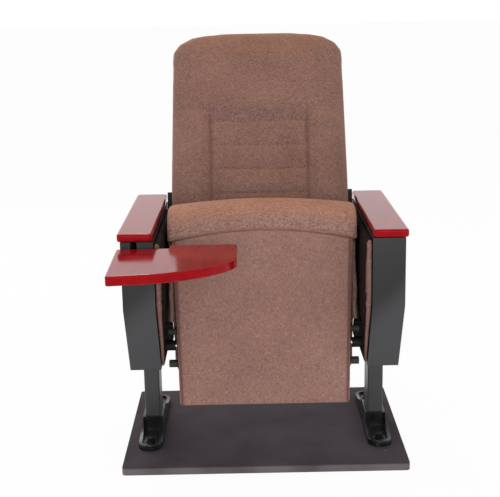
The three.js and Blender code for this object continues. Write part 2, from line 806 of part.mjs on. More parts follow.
function seatCushion() {
  const sideRadius = 12;
  const sideSteps = 5;
  const sideDrawShare = 0.8;
  const flat = cushionHalfWidth - sideRadius;
  const stations = [];
  for (let i = sideSteps; i > 0; i -= 1) {
    const angle = (Math.PI / 2) * (i / sideSteps);
    stations.push([-flat - sideRadius * Math.sin(angle), sideRadius * (1 - Math.cos(angle)) * sideDrawShare]);
  }
  const middleSteps = 12;
  for (let i = 0; i <= middleSteps; i += 1) {
    stations.push([-flat + (2 * flat * i) / middleSteps, 0]);
  }
  const right = stations.slice(0, sideSteps).reverse().map(([x, shrink]) => [-x, shrink]);
  const coreY = (cushionFrontY + cushionFaceY) / 2;
  const coreZ = (seatTopZ + seatRearZ) / 2;
  const rings = [...stations, ...right].map(([x, shrink]) => cushionSection(x).map(([y, z]) => {
    const towardsCore = THREE.MathUtils.clamp(coreY - y, -shrink, shrink);
    const drawnZ = coreZ + (z - coreZ) * (1 - shrink / (seatTopZ - coreZ));
    const waist = smooth((drawnZ - waistTopZ) / waistRise);
    const widthShare = (cushionWaist + (cushionHalfWidth - cushionWaist) * waist) / cushionHalfWidth;
    return new THREE.Vector3(x * widthShare, y + towardsCore, drawnZ);
  }));
  return loft(rings);
}

// Back, in its own frame

const backTaperPower = 1.15;
function backHalfWidth(z) {
  const below = Math.max(0, (backWaistZ - z) / backWaistZ);
  const above = Math.max(0, (z - backWaistZ) / (backHeight - backWaistZ));
  return backWaistHalfWidth - (backWaistHalfWidth - backBottomHalfWidth) * below ** 2
    - (backWaistHalfWidth - backTopHalfWidth) * above ** backTaperPower;
}

// Each top corner is a superellipse under a shallow crown
const backCornerHeight = 66;
const cornerRisePower = 2.4;
const cornerWidthPower = 0.34;
function backOutlineHalfWidth(z) {
  const cornerStart = backHeight - backCornerHeight;
  const rise = THREE.MathUtils.clamp((z - cornerStart) / backCornerHeight, 0, 1);
  return backHalfWidth(z) * (1 - rise ** cornerRisePower) ** cornerWidthPower;
}

function backOutline(distance, steps = 7) {
  const cornerStart = backHeight - backCornerHeight;
  const right = [];
  for (let i = 0; i <= steps; i += 1) {
    const z = distance + (cornerStart - distance) * (i / steps);
    right.push([backHalfWidth(z) - distance, z]);
  }
  const cornerSteps = 9;
  for (let i = 1; i < cornerSteps; i += 1) {
    const rise = Math.sin((Math.PI / 2) * (i / cornerSteps));
    const wide = backOutlineHalfWidth(cornerStart + backCornerHeight * rise) - distance;
    right.push([wide, cornerStart + (backCornerHeight - distance) * rise]);
  }
  const left = right.map(([x, z]) => [-x, z]).reverse();
  return [...right, ...left];
}

const backBoltRadius = 4;
const backBoltDepth = 9;
const bracketLowZ = 150;
const bracketHighZ = 290;
const bracketLegTopZ = 244;
const bracketSteel = 4;
const bracketTabX = 150;
const bracketFrontY = -40;
function backBoard() {
  const setBack = 12;
  const shape = new THREE.Shape(backOutline(setBack).map(([x, z]) => new THREE.Vector2(x, z)));
  const board = facePlate(shape, 0, backBoardThick);
  const holeEnd = backBoardThick - backBoltDepth - fitGap;
  return cut(board, ...backBoltPlaces().map(([x, z]) => (
    rod('y', backBoltRadius + fitGap, holeEnd, backBoardThick + overrun, x, z))));
}

function backBoltPlaces(sides = [-1, 1]) {
  const inboard = 20;
  const share = 0.24;
  const span = bracketHighZ - bracketLowZ;
  return sides.flatMap((side) => [bracketLowZ + share * span, bracketHighZ - share * span].map((z) => (
    [side * (bracketTabX + inboard), z])));
}

function shellRing(distance, y) {
  return backOutline(distance).map(([x, z]) => new THREE.Vector3(x, y, z));
}

// The moulded outer shell: a tray behind the board, with gaps for the bracket tabs
function backShell() {
  const rimInset = 8;
  const start = backBoardThick + fitGap;
  const end = start + shellDepth;
  const draft = 5;
  const edge = 12;
  const outer = loft([shellRing(rimInset, start), shellRing(rimInset + draft / 2, start + shellDepth / 2),
    shellRing(rimInset + draft, end - edge / 3), shellRing(rimInset + draft + edge, end)]);
  const inner = loft([shellRing(rimInset + shellWall, start - overrun),
    shellRing(rimInset + shellWall + draft, end - shellWall - edge / 3),
    shellRing(rimInset + shellWall + draft + edge / 2, end - shellWall)]);
  const gap = bracketSteel + 3 * fitGap;
  const notches = [-1, 1].map((side) => {
    const [a, b] = [side * bracketTabX, side * (backWaistHalfWidth + overrun)];
    return box(Math.min(a, b), Math.max(a, b), start - overrun, start + gap, bracketLowZ - fitGap * 2,
      bracketHighZ + fitGap * 2);
  });
  return cut(outer, inner, ...notches);
}

// Steel angle: one leg lies on the side board, the other is bolted behind the back board
function backBracket() {
  const y = backBoardThick + 2 * fitGap;
  const outer = boardFaceX - fitGap;
  const leg = box(outer - bracketSteel, outer, bracketFrontY, y + bracketSteel, bracketLowZ, bracketLegTopZ);
  const tab = box(bracketTabX, outer - bracketSteel / 2, y, y + bracketSteel, bracketLowZ, bracketHighZ);
  const holes = backBoltPlaces([1]).map(([x, z]) => (
    rod('y', backBoltRadius + fitGap, y - overrun, y + bracketSteel + overrun, x, z)));
  return cut(joined(leg, tab), ...holes);
}

function backBolt() {
  const headRadius = 7.5;
  const headHeight = 5;
  const face = backBoardThick + bracketSteel + 3 * fitGap;
  return joined(rod('y', backBoltRadius, backBoardThick - backBoltDepth, face + headHeight / 2, 0, 0, 16),
    rod('y', headRadius, face, face + headHeight, 0, 0, 6));
}

// The upholstered front of the back, with side bolsters, two long seams and sewn channels between them
const lumbarRise = 12;
const lumbarZ = 190;
const lumbarReach = 150;
const bolsterRise = 11;
const bolsterReach = 34;
const seamDepth = 6;
const seamReach = 4;
const channelDepth = 2.5;
const channelReach = 6;
const topThin = 16;
const backEdgeThick = 7;
const backLowRound = 40;
const channelLevels = Array.from({ length: backChannelCount }, (_, i) => (
  backChannelTopZ - i * backChannelPitch));

// How much of the foam's depth is left near the lower and upper edges
function backEdgeShare(z) {
  const crownShare = 0.9;
  const leastLow = 0.2;
  const leastTop = 0.1;
  const low = 1 - THREE.MathUtils.clamp(z / backLowRound, 0, 1);
  const high = THREE.MathUtils.clamp((z / backHeight - crownShare) / (1 - crownShare), 0, 1);
  return Math.max(Math.sqrt(1 - low ** 3), leastLow) * Math.max(Math.sqrt(1 - high ** 3), leastTop);
}

function backThickness(x, z, acrossPart) {
  const side = Math.abs(x);
  const seamLeadShare = 0.4;
  const thinStartShare = 0.7;
  const sidePower = 7;
  const seamTopZ = backChannelTopZ + seamLeadShare * backChannelPitch;
  const seamFade = smooth((seamTopZ - z) / backChannelPitch + 1 / 2);
  let depth = backFoam + lumbarRise * groove(z - lumbarZ, lumbarReach);
  depth += bolsterRise * smooth((side - backSeamX) / bolsterReach) * seamFade;
  depth -= topThin * smooth((z / backHeight - thinStartShare) / (1 - thinStartShare));
  depth -= seamDepth * groove(side - backSeamX, seamReach) * seamFade;
  if (side < backSeamX) {
    channelLevels.forEach((level) => { depth -= channelDepth * groove(z - level, channelReach); });
  }
  const sideEdge = Math.sqrt(1 - acrossPart ** sidePower);
  return backEdgeThick + (depth - backEdgeThick) * sideEdge * backEdgeShare(z);
}

function backCushion() {
  const stationShares = [0, 0.2, 0.4, 0.515, 0.545, 0.575, 0.66, 0.76, 0.86, 0.93, 0.975, 1];
  const rearShares = [0.97, 0, -0.97];
  const levelShares = [0, 0.012, 0.03, 0.78, 0.86, 0.9, 0.93, 0.955, 0.975, 0.988, 0.996];
  const levels = levelShares.map((share) => share * backHeight);
  channelLevels.forEach((z) => levels.push(z - channelReach, z, z + channelReach, z + backChannelPitch / 2));
  const sorted = [...new Set(levels)].filter((z) => z >= 0 && z < backHeight).sort((a, b) => a - b);
  const spaced = sorted.filter((z, i) => i === 0 || z - sorted[i - 1] > softGap);
  const across = [...stationShares.slice(1).reverse().map((share) => -share), ...stationShares];
  const rings = spaced.map((z) => {
    const half = backOutlineHalfWidth(z);
    const front = across.map((share) => (
      new THREE.Vector3(share * half, -fitGap - backThickness(share * half, z, Math.abs(share)), z)));
    const rear = rearShares.map((share) => new THREE.Vector3(share * half, -fitGap, z));
    return [...front, ...rear];
  });
  return loft(rings);
}

// Writing tablet: its rear edge steps back beside the armrest, where it still turns up past the armrest

const armX = -columnX;
const armrestInnerX = -armrestX + armrestWidth / 2;
const turnRadius = Math.hypot(armrestInnerX - armX, armrestTopZ - tabletAxisZ) + tabletStepClear;
function tabletBoard() {
  const left = -armrestX - armrestWidth / 2;
  const right = left + tabletWidth;
  const step = armX + turnRadius;
  const stepY = tabletRearY + tabletStepDepth;
  const front = tabletRearY - tabletDepth;
  const cornerRadius = 7;
  const arcStartShare = 0.42;
  const arcEndShare = 0.33;
  const arcMiddleShares = [0.66, 0.1];
  const arcSideShares = [0.055, 0.37];
  const frontSag = 11;
  const arcStartY = tabletRearY - arcStartShare * tabletDepth;
  const arcEndX = left + arcEndShare * tabletWidth;
  const shape = new THREE.Shape();
  shape.moveTo(left + cornerRadius, tabletRearY);
  shape.quadraticCurveTo(left, tabletRearY, left, tabletRearY - cornerRadius);
  shape.lineTo(left + cornerRadius / 2, front + cornerRadius);
  shape.quadraticCurveTo(left + cornerRadius / 2, front, left + 2 * cornerRadius, front + frontSag / 10);
  shape.lineTo(arcEndX, front + frontSag);
  shape.bezierCurveTo(left + arcMiddleShares[0] * tabletWidth, front + arcMiddleShares[1] * tabletDepth,
    right - arcSideShares[0] * tabletWidth, front + arcSideShares[1] * tabletDepth, right, arcStartY);
  shape.lineTo(right, stepY - cornerRadius);
  shape.quadraticCurveTo(right, stepY, right - cornerRadius, stepY);
  shape.lineTo(step + cornerRadius, stepY);
  shape.quadraticCurveTo(step, stepY, step, stepY - cornerRadius);
  shape.lineTo(step, tabletRearY + cornerRadius);
  shape.quadraticCurveTo(step, tabletRearY, step - cornerRadius, tabletRearY);
  const ease = 3;
  return slab(shape, tabletTopZ - tabletThick, tabletTopZ, ease, 3, 8);
}

const knuckleRearInset = 15;
const knuckleFrontInset = 110;
const knuckleLength = 32;
const knuckleSpans = [knuckleRearInset, knuckleFrontInset].map((distance) => (
  [tabletRearY - distance, tabletRearY - distance - knuckleLength]));
const collarThick = 4;
const armRodEndY = knuckleSpans[1][1] - fitGap - collarThick;
function tabletHinge() {
  const leafHalf = 30;
  const corner = 6;
  const top = tabletTopZ - tabletThick - fitGap;
  const rear = knuckleSpans[0][0];
  const front = knuckleSpans[1][1];
  const leaf = slab(roundedShape(rectangle(2 * leafHalf, rear - front), corner), top - hingeLeafThick, top);
  const place = moved(leaf, armX, (rear + front) / 2, 0);
  const knuckles = knuckleSpans.map(([from, to]) => rod('y', knuckleRadius, to, from, armX, tabletAxisZ, 24));
  const bore = rod('y', armRodRadius + fitGap, front - overrun, rear + overrun, armX, tabletAxisZ, 24);
  return cut(joined(place, ...knuckles), bore);
}

// The arm: a flat hub on the cross pin, a neck through the cover's slot, and the round rod under the tablet
const armPinRadius = 4;
const armHubRadius = 11;
const armNeckReach = 4;
function tabletArm() {
  const rodStartY = tabletRearY - armNeckReach;
  const collarRadius = 9;
  const half = armThick / 2;
  const neckShares = [[-0.3, -0.95], [0.3, -0.95], [0.9, 0], [-0.6, 0.75]];
  const hubSide = neckShares.map(([alongShare, upShare]) => (
    [armPivotY + alongShare * armHubRadius, armPivotZ + upShare * armHubRadius]));
  const neck = [...hubSide, [rodStartY, tabletAxisZ + armRodRadius], [rodStartY, tabletAxisZ - armRodRadius]];
  const body = joined(
    sidePlate(roundedShape(neck.reverse(), 0), armX - half, armX + half),
    rod('x', armHubRadius, armX - half, armX + half, armPivotY, armPivotZ, 28),
    rod('y', armRodRadius, armRodEndY, rodStartY + overrun / 2, armX, tabletAxisZ, 24),
    rod('y', collarRadius, armRodEndY, armRodEndY + collarThick, armX, tabletAxisZ, 24),
  );
  const boreRadius = armPinRadius + fitGap / 2;
  return cut(body, rod('x', boreRadius, armX - armThick, armX + armThick, armPivotY, armPivotZ, 24));
}

const bearingReach = 14;
const bearingRearShare = 1.6;
const bearingDrop = 30;
const bearingHalf = pocketHalfWidth - fitGap;
function armBearing() {
  const [front, rear] = [armPivotY - bearingReach, armPivotY + bearingReach * bearingRearShare];
  const [low, high] = [armPivotZ - bearingDrop, sideTopZ - overrun];
  const slotHalf = armThick / 2 + softGap;
  const web = 7;
  const block = box(armX - bearingHalf, armX + bearingHalf, front, rear, low, high);
  const slot = box(armX - slotHalf, armX + slotHalf, front - overrun, rear - web, low - overrun,
    high + overrun);
  const bore = rod('x', armPinRadius + fitGap / 2, armX - bearingHalf - overrun, armX + bearingHalf + overrun,
    armPivotY, armPivotZ, 24);
  return cut(block, slot, bore);
}

function armPin() {
  return rod('x', armPinRadius, armX - bearingHalf, armX + bearingHalf, armPivotY, armPivotZ, 24);
}

// Hinge at the rear of the left armrest, which lifts to let the arm swing up
const lidKnuckle = 5;
const lidPinRadius = 2.5;
const lidLeafHalf = 15;
const lidLeafThick = 2;
const lidBarrelHalf = lidLeafHalf / 3;
const lidBore = () => rod('x', lidPinRadius + fitGap / 2, armX - standardWidth, armX + standardWidth,
  lidPivotY, lidPivotZ, 16);

function lidFixedLeaf() {
  const rearFace = sideRearY - coverSheet;
  const low = sideRearKinkZ + lidKnuckle;
  const topShare = 0.6;
  const trimShare = 2.4;
  const leaf = box(armX - lidLeafHalf, armX + lidLeafHalf, rearFace, lidPivotY - lidKnuckle / 2, low,
    lidPivotZ - lidKnuckle * topShare);
  const trimmed = cut(leaf, box(armX - 2 * lidLeafHalf, armX + 2 * lidLeafHalf, rearFace + lidLeafThick,
    lidPivotY, low - overrun, lidPivotZ - lidKnuckle * trimShare));
  const barrel = rod('x', lidKnuckle, armX - lidLeafHalf, armX + lidLeafHalf, lidPivotY, lidPivotZ, 24);
  const reach = lidKnuckle + fitGap;
  const centre = box(armX - lidBarrelHalf - fitGap, armX + lidBarrelHalf + fitGap, lidPivotY - reach,
    lidPivotY + reach, lidPivotZ - reach, lidPivotZ + reach);
  return cut(joined(trimmed, barrel), centre, lidBore());
}

function lidMovingLeaf() {
  const face = armrestRearY + fitGap;
  const top = armrestTopZ - 2 * lidLeafThick;
  const low = lidPivotZ + lidKnuckle + fitGap;
  const leaf = box(armX - lidLeafHalf, armX + lidLeafHalf, face, face + lidLeafThick, low, top);
  const barrel = rod('x', lidKnuckle, armX - lidBarrelHalf, armX + lidBarrelHalf, lidPivotY, lidPivotZ, 24);
  const web = box(armX - lidBarrelHalf, armX + lidBarrelHalf, face, lidPivotY,
    lidPivotZ + lidPinRadius + fitGap, low + lidLeafThick);
  return cut(joined(leaf, barrel, web), lidBore());
}

function lidPin() {
  return rod('x', lidPinRadius, armX - lidLeafHalf, armX + lidLeafHalf, lidPivotY, lidPivotZ, 16);
}

// Assembly

const sides = { left: -1, right: 1 };
const onBothSides = (build) => Object.entries(sides).forEach(([name, side]) => build(name, side));

addPart('base_board', baseBoard(), 'baseMat');

onBothSides((name, side) => {
  const footMesh = addPart(`foot_${name}`, foot(), 'blackCasting');
  footMesh.position.set(side * columnX, footShiftY, baseThick + fitGap);
  Object.entries(boltPlaces).forEach(([end, y]) => {
    addPart(`anchor_bolt_${end}_${name}`, anchorBolt(), 'blackSteel').position.set(side * columnX, y, 0);
  });
  addPart(`leg_column_${name}`, column(), 'columnPaint').position.set(side * columnX, 0, 0);
  addPart(`front_cover_${name}`, frontCover(side), 'satinSheet').position.set(side * standardX, 0, 0);
  const inboard = onSide(side, sideBoard(innerBoardThick));
  const outboard = onSide(-side, sideBoard(outerBoardThick));
  const half = standardWidth / 2;
  addPart(`inner_side_board_${name}`, inboard, 'laminate').position.x = side * (standardX - half);
  addPart(`outer_side_board_${name}`, outboard, 'laminate').position.x = side * (standardX + half);
  const pad = moved(sidePad(), boardFaceX - fitGap, 0, 0);
  addPart(`inner_side_pad_${name}`, onSide(side, cut(pad, padCutout())), 'fabric');
  addPart(`edge_rail_front_${name}`, edgeRailFront(), 'plywood').position.x = side * columnX;
  addPart(`edge_rail_rear_${name}`, edgeRailRear(), 'plywood').position.x = side * columnX;
  const armName = side > 0 ? 'armrest_right' : 'armrest_lid_left';
  addPart(armName, armrest(), 'redLacquer').position.x = side * armrestX;
  addPart(`pivot_bracket_${name}`, onSide(side, pivotBracket()), 'blackSteel');
  addPart(`pivot_pin_${name}`, onSide(side, pivotPin()), 'brightSteel');
  const spring = moved(returnSpring(), 0, pivotY, pivotZ);
  addPart(`return_spring_${name}`, onSide(side, spring), 'brightSteel');
});

const tipUp = new THREE.Group();
tipUp.position.set(0, pivotY, pivotZ);
tipUp.rotation.x = -seatLean;
seat.add(tipUp);

onBothSides((name, side) => {
  addPart(`seat_hinge_plate_${name}`, onSide(side, hingePlate()), 'blackSteel', tipUp);
  addPart(`stop_buffer_${name}`, onSide(side, buffer(stopBufferRadius, 0, -stopArm)), 'rubber', tipUp);
  addPart(`rest_buffer_${name}`, onSide(side, buffer(restBufferRadius, restPegY, restArm)), 'rubber', tipUp);
  addPart(`seat_side_rail_${name}`, seatRail(side), 'plywood', tipUp);
});
addPart('seat_cross_tube', crossTubeBody(), 'blackSteel', tipUp);
addPart('seat_board', seatBoard(), 'plywood', tipUp);
addPart('seat_front_rail', seatFrontRail(), 'plywood', tipUp);
addPart('seat_underside_panel', undersidePanel(), 'fabric', tipUp);
addPart('seat_cushion', seatCushion(), 'fabric', tipUp);

const back = new THREE.Group();
back.position.set(0, backY, backZ);
back.rotation.x = -backRecline;
seat.add(back);

addPart('back_board', backBoard(), 'plywood', back);
addPart('back_shell', backShell(), 'shellPlastic', back);
addPart('back_cushion', backCushion(), 'fabric', back);
onBothSides((name, side) => {
  addPart(`back_bracket_${name}`, onSide(side, backBracket()), 'blackSteel', back);
  backBoltPlaces([side]).forEach(([x, z], i) => {
    const level = i === 0 ? 'lower' : 'upper';
    addPart(`back_bolt_${level}_${name}`, backBolt(), 'brightSteel', back).position.set(x, 0, z);
  });
});

addPart('tablet_board', tabletBoard(), 'redLacquer');
addPart('tablet_hinge', tabletHinge(), 'blackSteel');
addPart('tablet_arm', tabletArm(), 'blackSteel');
addPart('tablet_arm_bearing', armBearing(), 'blackSteel');
addPart('tablet_arm_pin', armPin(), 'brightSteel');
addPart('lid_fixed_leaf', lidFixedLeaf(), 'blackSteel');
addPart('lid_moving_leaf', lidMovingLeaf(), 'blackSteel');
addPart('lid_hinge_pin', lidPin(), 'brightSteel');

export default seat;
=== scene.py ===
# %% [markdown]
# # A tip up auditorium seat, dressed for a studio picture
# The measured model holds every solid of the seat in its right place. This lesson keeps those
# solids as a frame that never moves, gives each one a finish, and builds the upholstery round
# them. All lengths are in metres, and +Z is up.

import json
import math

import bpy
import numpy as np
from mathutils import Matrix, Vector


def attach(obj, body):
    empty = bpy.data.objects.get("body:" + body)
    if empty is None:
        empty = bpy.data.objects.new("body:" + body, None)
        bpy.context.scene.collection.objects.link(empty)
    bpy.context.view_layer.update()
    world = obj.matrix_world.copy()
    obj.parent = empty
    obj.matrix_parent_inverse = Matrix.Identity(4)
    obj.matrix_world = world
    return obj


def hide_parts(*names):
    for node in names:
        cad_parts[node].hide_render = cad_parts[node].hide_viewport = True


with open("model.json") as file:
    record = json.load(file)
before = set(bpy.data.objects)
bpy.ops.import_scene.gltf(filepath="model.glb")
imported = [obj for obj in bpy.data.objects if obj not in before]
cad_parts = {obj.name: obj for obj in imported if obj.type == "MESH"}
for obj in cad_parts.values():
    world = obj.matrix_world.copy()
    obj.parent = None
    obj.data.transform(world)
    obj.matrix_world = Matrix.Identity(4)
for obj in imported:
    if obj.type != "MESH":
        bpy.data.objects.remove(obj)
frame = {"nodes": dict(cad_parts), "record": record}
nodes = frame["nodes"]
record = frame["record"]
slot_of_node = {row["node"]: row["material_slot"] for row in record["subparts"]}
body_of_node = {
    node: body
    for body, members in record["behaviour"]["bodies"].items()
    for node in members
}


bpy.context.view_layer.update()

# %% [markdown]
# ## Camera
# The photograph looks a little down on the seat from straight ahead. Its camera was worked out
# from the corners of the base board and the armrests, so it is placed by numbers: a long lens a
# good two and a half metres away, tipped down by about 13 degrees and rolled by one.

# %% Camera
CAMERA_PLACE = Vector((-0.033, -2.579, 1.098))
CAMERA_YAW = math.radians(0.11)
CAMERA_PITCH = math.radians(13.33)
CAMERA_ROLL = math.radians(-1.06)
SENSOR_WIDTH = 36.0
FOCAL_SHARE = 1066 / 500


def camera_turn():
    yaw, pitch, roll = CAMERA_YAW, CAMERA_PITCH, CAMERA_ROLL
    level = math.cos(pitch)
    ahead = Vector((math.sin(yaw) * level, math.cos(yaw) * level, -math.sin(pitch)))
    right = Vector((math.cos(yaw), -math.sin(yaw), 0))
    up = right.cross(ahead)
    rolled_right = right * math.cos(roll) + up * math.sin(roll)
    rolled_up = up * math.cos(roll) - right * math.sin(roll)
    return Matrix((rolled_right, rolled_up, -ahead)).transposed()


lens = bpy.data.cameras.new("studio_camera")
lens.sensor_width = SENSOR_WIDTH
lens.lens = SENSOR_WIDTH * FOCAL_SHARE
camera = bpy.data.objects.new("studio_camera", lens)
camera.matrix_world = Matrix.Translation(CAMERA_PLACE) @ camera_turn().to_4x4()
bpy.context.scene.collection.objects.link(camera)
bpy.context.scene.camera = camera
print("lens in mm:", round(lens.lens, 1))

# %% [markdown]
# ## Writing shaders as sums
# A material in Blender is a graph of nodes, and a graph is hard to read as code. Here one small
# class wraps an output socket, so that `1 - mask` or `height * 0.5 + grain` makes the Math nodes
# by itself. Every other node comes from one method, which takes its type, its settings and its
# sockets. The room and all the finishes are built with it.

# %% A wire that does arithmetic


class Wire:
    def __init__(self, graph, node, output=0):
        self.graph = graph
        self.made = node
        self.socket = node.outputs[output] if node.outputs else None

    def out(self, output):
        return Wire(self.graph, self.made, output)

    def combined(self, operation, first, second):
        return self.graph.node("ShaderNodeMath", {"operation": operation}, {0: first, 1: second})

    def __add__(self, other):
        return self.combined("ADD", self, other)

    def __sub__(self, other):
        return self.combined("SUBTRACT", self, other)

    def __mul__(self, other):
        return self.combined("MULTIPLY", self, other)

    def __rsub__(self, other):
        return self.combined("SUBTRACT", other, self)

    __radd__ = __add__
    __rmul__ = __mul__


print("wires ready")

# %% A graph that makes nodes


def with_alpha(colour):
    return (*colour, 1) if isinstance(colour, tuple) else colour


class Graph:
    def __init__(self, tree):
        self.tree = tree
        tree.nodes.clear()

    def node(self, kind, settings=None, sockets=None, output=0):
        made = self.tree.nodes.new(kind)
        for name, value in (settings or {}).items():
            if name == "stops":
                self.set_stops(made.color_ramp, value)
            else:
                setattr(made, name, value)
        for key, value in (sockets or {}).items():
            if isinstance(value, Wire):
                self.tree.links.new(value.socket, made.inputs[key])
            else:
                made.inputs[key].default_value = value
        return Wire(self, made, output)

    def set_stops(self, ramp, stops):
        while len(ramp.elements) < len(stops):
            ramp.elements.new(0.5)
        for element, (position, colour) in zip(ramp.elements, stops):
            element.position = position
            element.color = with_alpha(colour)


print("graphs ready")

# %% A finish, which is the graph of one material


def tinted(colour, share):
    return tuple(share * c for c in colour)


class Finish(Graph):
    def __init__(self, name):
        self.material = bpy.data.materials.new(name)
        self.material.use_nodes = True
        super().__init__(self.material.node_tree)
        self.place = self.node("ShaderNodeTexCoord").out("Object")

    def parts_of(self, vector):
        return self.node("ShaderNodeSeparateXYZ", None, {0: vector})

    def facing(self):
        return self.parts_of(self.node("ShaderNodeTexCoord").out("Normal"))

    def stretched(self, scale):
        sockets = {0: self.place, 1: scale}
        return self.node("ShaderNodeVectorMath", {"operation": "MULTIPLY"}, sockets)

    def noise(self, scale, detail=2.0, vector=None):
        sockets = {"Vector": vector or self.place, "Scale": scale, "Detail": detail}
        return self.node("ShaderNodeTexNoise", None, sockets)

    def grain(self, scale, detail):
        """Noise with its own scale along each axis."""
        return self.noise(1.0, detail, self.stretched(scale))

    def ramp(self, value, stops):
        return self.node("ShaderNodeValToRGB", {"stops": stops}, {"Fac": value})

    def between(self, value, low, high, to_low=0.0, to_high=1.0):
        """A smooth climb from to_low, where value is low, to to_high, where it is high."""
        sockets = {"Value": value, "From Min": low, "From Max": high}
        sockets.update({"To Min": to_low, "To Max": to_high})
        return self.node("ShaderNodeMapRange", {"interpolation_type": "SMOOTHSTEP"}, sockets)

    def blend(self, share, first, second):
        sockets = {0: share, 6: with_alpha(first), 7: with_alpha(second)}
        return self.node("ShaderNodeMix", {"data_type": "RGBA"}, sockets, 2)

    def surface(self, colour, roughness, height=None, depth=0.0, **constants):
        sockets = {"Base Color": colour, "Roughness": roughness, **constants}
        if height is not None:
            bump = {"Strength": 1.0, "Distance": depth, "Height": height}
            sockets["Normal"] = self.node("ShaderNodeBump", None, bump)
        shader = self.node("ShaderNodeBsdfPrincipled", None, sockets)
        self.node("ShaderNodeOutputMaterial", None, {"Surface": shader})
        return self.material


print("shader helpers ready")

# %% [markdown]
# ## Room
# The picture is taken in front of plain white. A large floor carries the soft shadow of the base
# board, and the world is white where the camera or a mirror-like surface looks at it, but weaker
# as a light, so that colours come out as they are written. Five wide lamps give the forms their
# shading: one above, one low in front, one from each side, and one behind that gleams on the red
# tops.

# %% Floor
WHITE = (1, 1, 1, 1)
FLOOR_REACH = 40.0
FLOOR_GREY = 0.92
FLOOR_WHITE_SHARE = 0.95


def seen_directly(graph):
    """1 or more for a ray from the camera, from a mirror or through glass, else 0."""
    path = graph.node("ShaderNodeLightPath")
    return path.out("Is Camera Ray") + path.out("Is Glossy Ray") + path.out("Is Transmission Ray")


def studio_floor():
    mesh = bpy.data.meshes.new("studio_floor")
    far = FLOOR_REACH
    corners = [(-far, -far, 0), (far, -far, 0), (far, far, 0), (-far, far, 0)]
    mesh.from_pydata(corners, [], [(0, 1, 2, 3)])
    floor = bpy.data.objects.new("studio_floor", mesh)
    bpy.context.scene.collection.objects.link(floor)
    finish = Finish("studio_floor")
    grey = with_alpha((FLOOR_GREY, FLOOR_GREY, FLOOR_GREY))
    matt = finish.node("ShaderNodeBsdfDiffuse", None, {"Color": grey})
    glow = finish.node("ShaderNodeEmission", None, {"Color": WHITE, "Strength": 1.0})
    share = seen_directly(finish) * FLOOR_WHITE_SHARE
    mixed = finish.node("ShaderNodeMixShader", None, {0: share, 1: matt, 2: glow})
    finish.node("ShaderNodeOutputMaterial", None, {"Surface": mixed})
    floor.data.materials.append(finish.material)


studio_floor()
print("floor reaches", FLOOR_REACH, "m each way")

# %% World
WORLD_LIGHT = 0.62


def white_world():
    world = bpy.data.worlds.new("white_room")
    world.use_nodes = True
    graph = Graph(world.node_tree)
    seen = seen_directly(graph)
    strength = graph.node("ShaderNodeMapRange", None, {"Value": seen, "To Min": WORLD_LIGHT})
    light = {"Color": WHITE, "Strength": strength}
    background = graph.node("ShaderNodeBackground", None, light)
    graph.node("ShaderNodeOutputWorld", None, {"Surface": background})
    bpy.context.scene.world = world


white_world()
bpy.context.scene.view_settings.view_transform = "Standard"
print("world light:", WORLD_LIGHT)

# %% Lamps
# name: place, target, width and height, watts
LAMPS = {
    "lamp_above": ((-0.3, -1.5, 3.0), (0, 0, 0.5), (2.2, 1.6), 10),
    "lamp_front": ((0.2, -3.8, 1.0), (0, 0, 0.5), (2.4, 1.2), 40),
    "lamp_behind": ((-0.9, 2.2, 2.5), (-0.3, -0.3, 0.5), (1.0, 1.6), 26),
    "lamp_left": ((-2.6, -2.6, 1.3), (0, 0, 0.4), (1.4, 2.2), 16),
    "lamp_right": ((2.6, -2.6, 1.3), (0, 0, 0.4), (1.4, 2.2), 9),
}


def lamp(name, place, target, size, watts):
    data = bpy.data.lights.new(name, "AREA")
    data.shape = "RECTANGLE"
    data.size, data.size_y = size
    data.energy = watts
    made = bpy.data.objects.new(name, data)
    made.location = place
    aim = Vector(target) - Vector(place)
    made.rotation_euler = aim.to_track_quat("-Z", "Y").to_euler()
    bpy.context.scene.collection.objects.link(made)


for lamp_name, row in LAMPS.items():
    lamp(lamp_name, *row)
print("lamps:", list(LAMPS))

# %% [markdown]
# ## Woven fabric
# The upholstery is a plain heathered weave: brown, mauve and tan yarns, each only a millimetre or
# two wide. A flat colour would look like plastic, so the weave is drawn as two crossing waves on
# whichever plane the surface lies in, and noise that is stretched along the yarn gives each
# thread its own shade. A seam is darker, because it is dirt and painted shade in a fold: the
# meshes carry that as a value on their points. Cloth that faces up is painted tan as painted
# light from above, so the tan share grows as the normal turns up, and sheen gives the glow that
# such cloth has when it is seen aslant.

# %% Yarns
YARN_PITCH = 0.0021
TURNED_FROM, TURNED_FULLY = 0.4, 0.6


def yarns(finish, along, across):
    turn = math.pi / YARN_PITCH
    warp = finish.node("ShaderNodeMath", {"operation": "SINE"}, {0: along * turn})
    weft = finish.node("ShaderNodeMath", {"operation": "SINE"}, {0: across * turn})
    return warp * weft


def weave(finish, facing):
    where = finish.parts_of(finish.place)
    x, y, z = where.out("X"), where.out("Y"), where.out("Z")
    sideways, upwards = facing.out("X"), facing.out("Z")
    on_side = finish.between(sideways * sideways, TURNED_FROM, TURNED_FULLY)
    on_top = finish.between(upwards * upwards, TURNED_FROM, TURNED_FULLY)
    front = yarns(finish, x, z)
    top = yarns(finish, x, y)
    side = yarns(finish, y, z)
    return (front * (1 - on_top) + top * on_top) * (1 - on_side) + side * on_side


print("yarn pitch in mm:", YARN_PITCH * 1000)
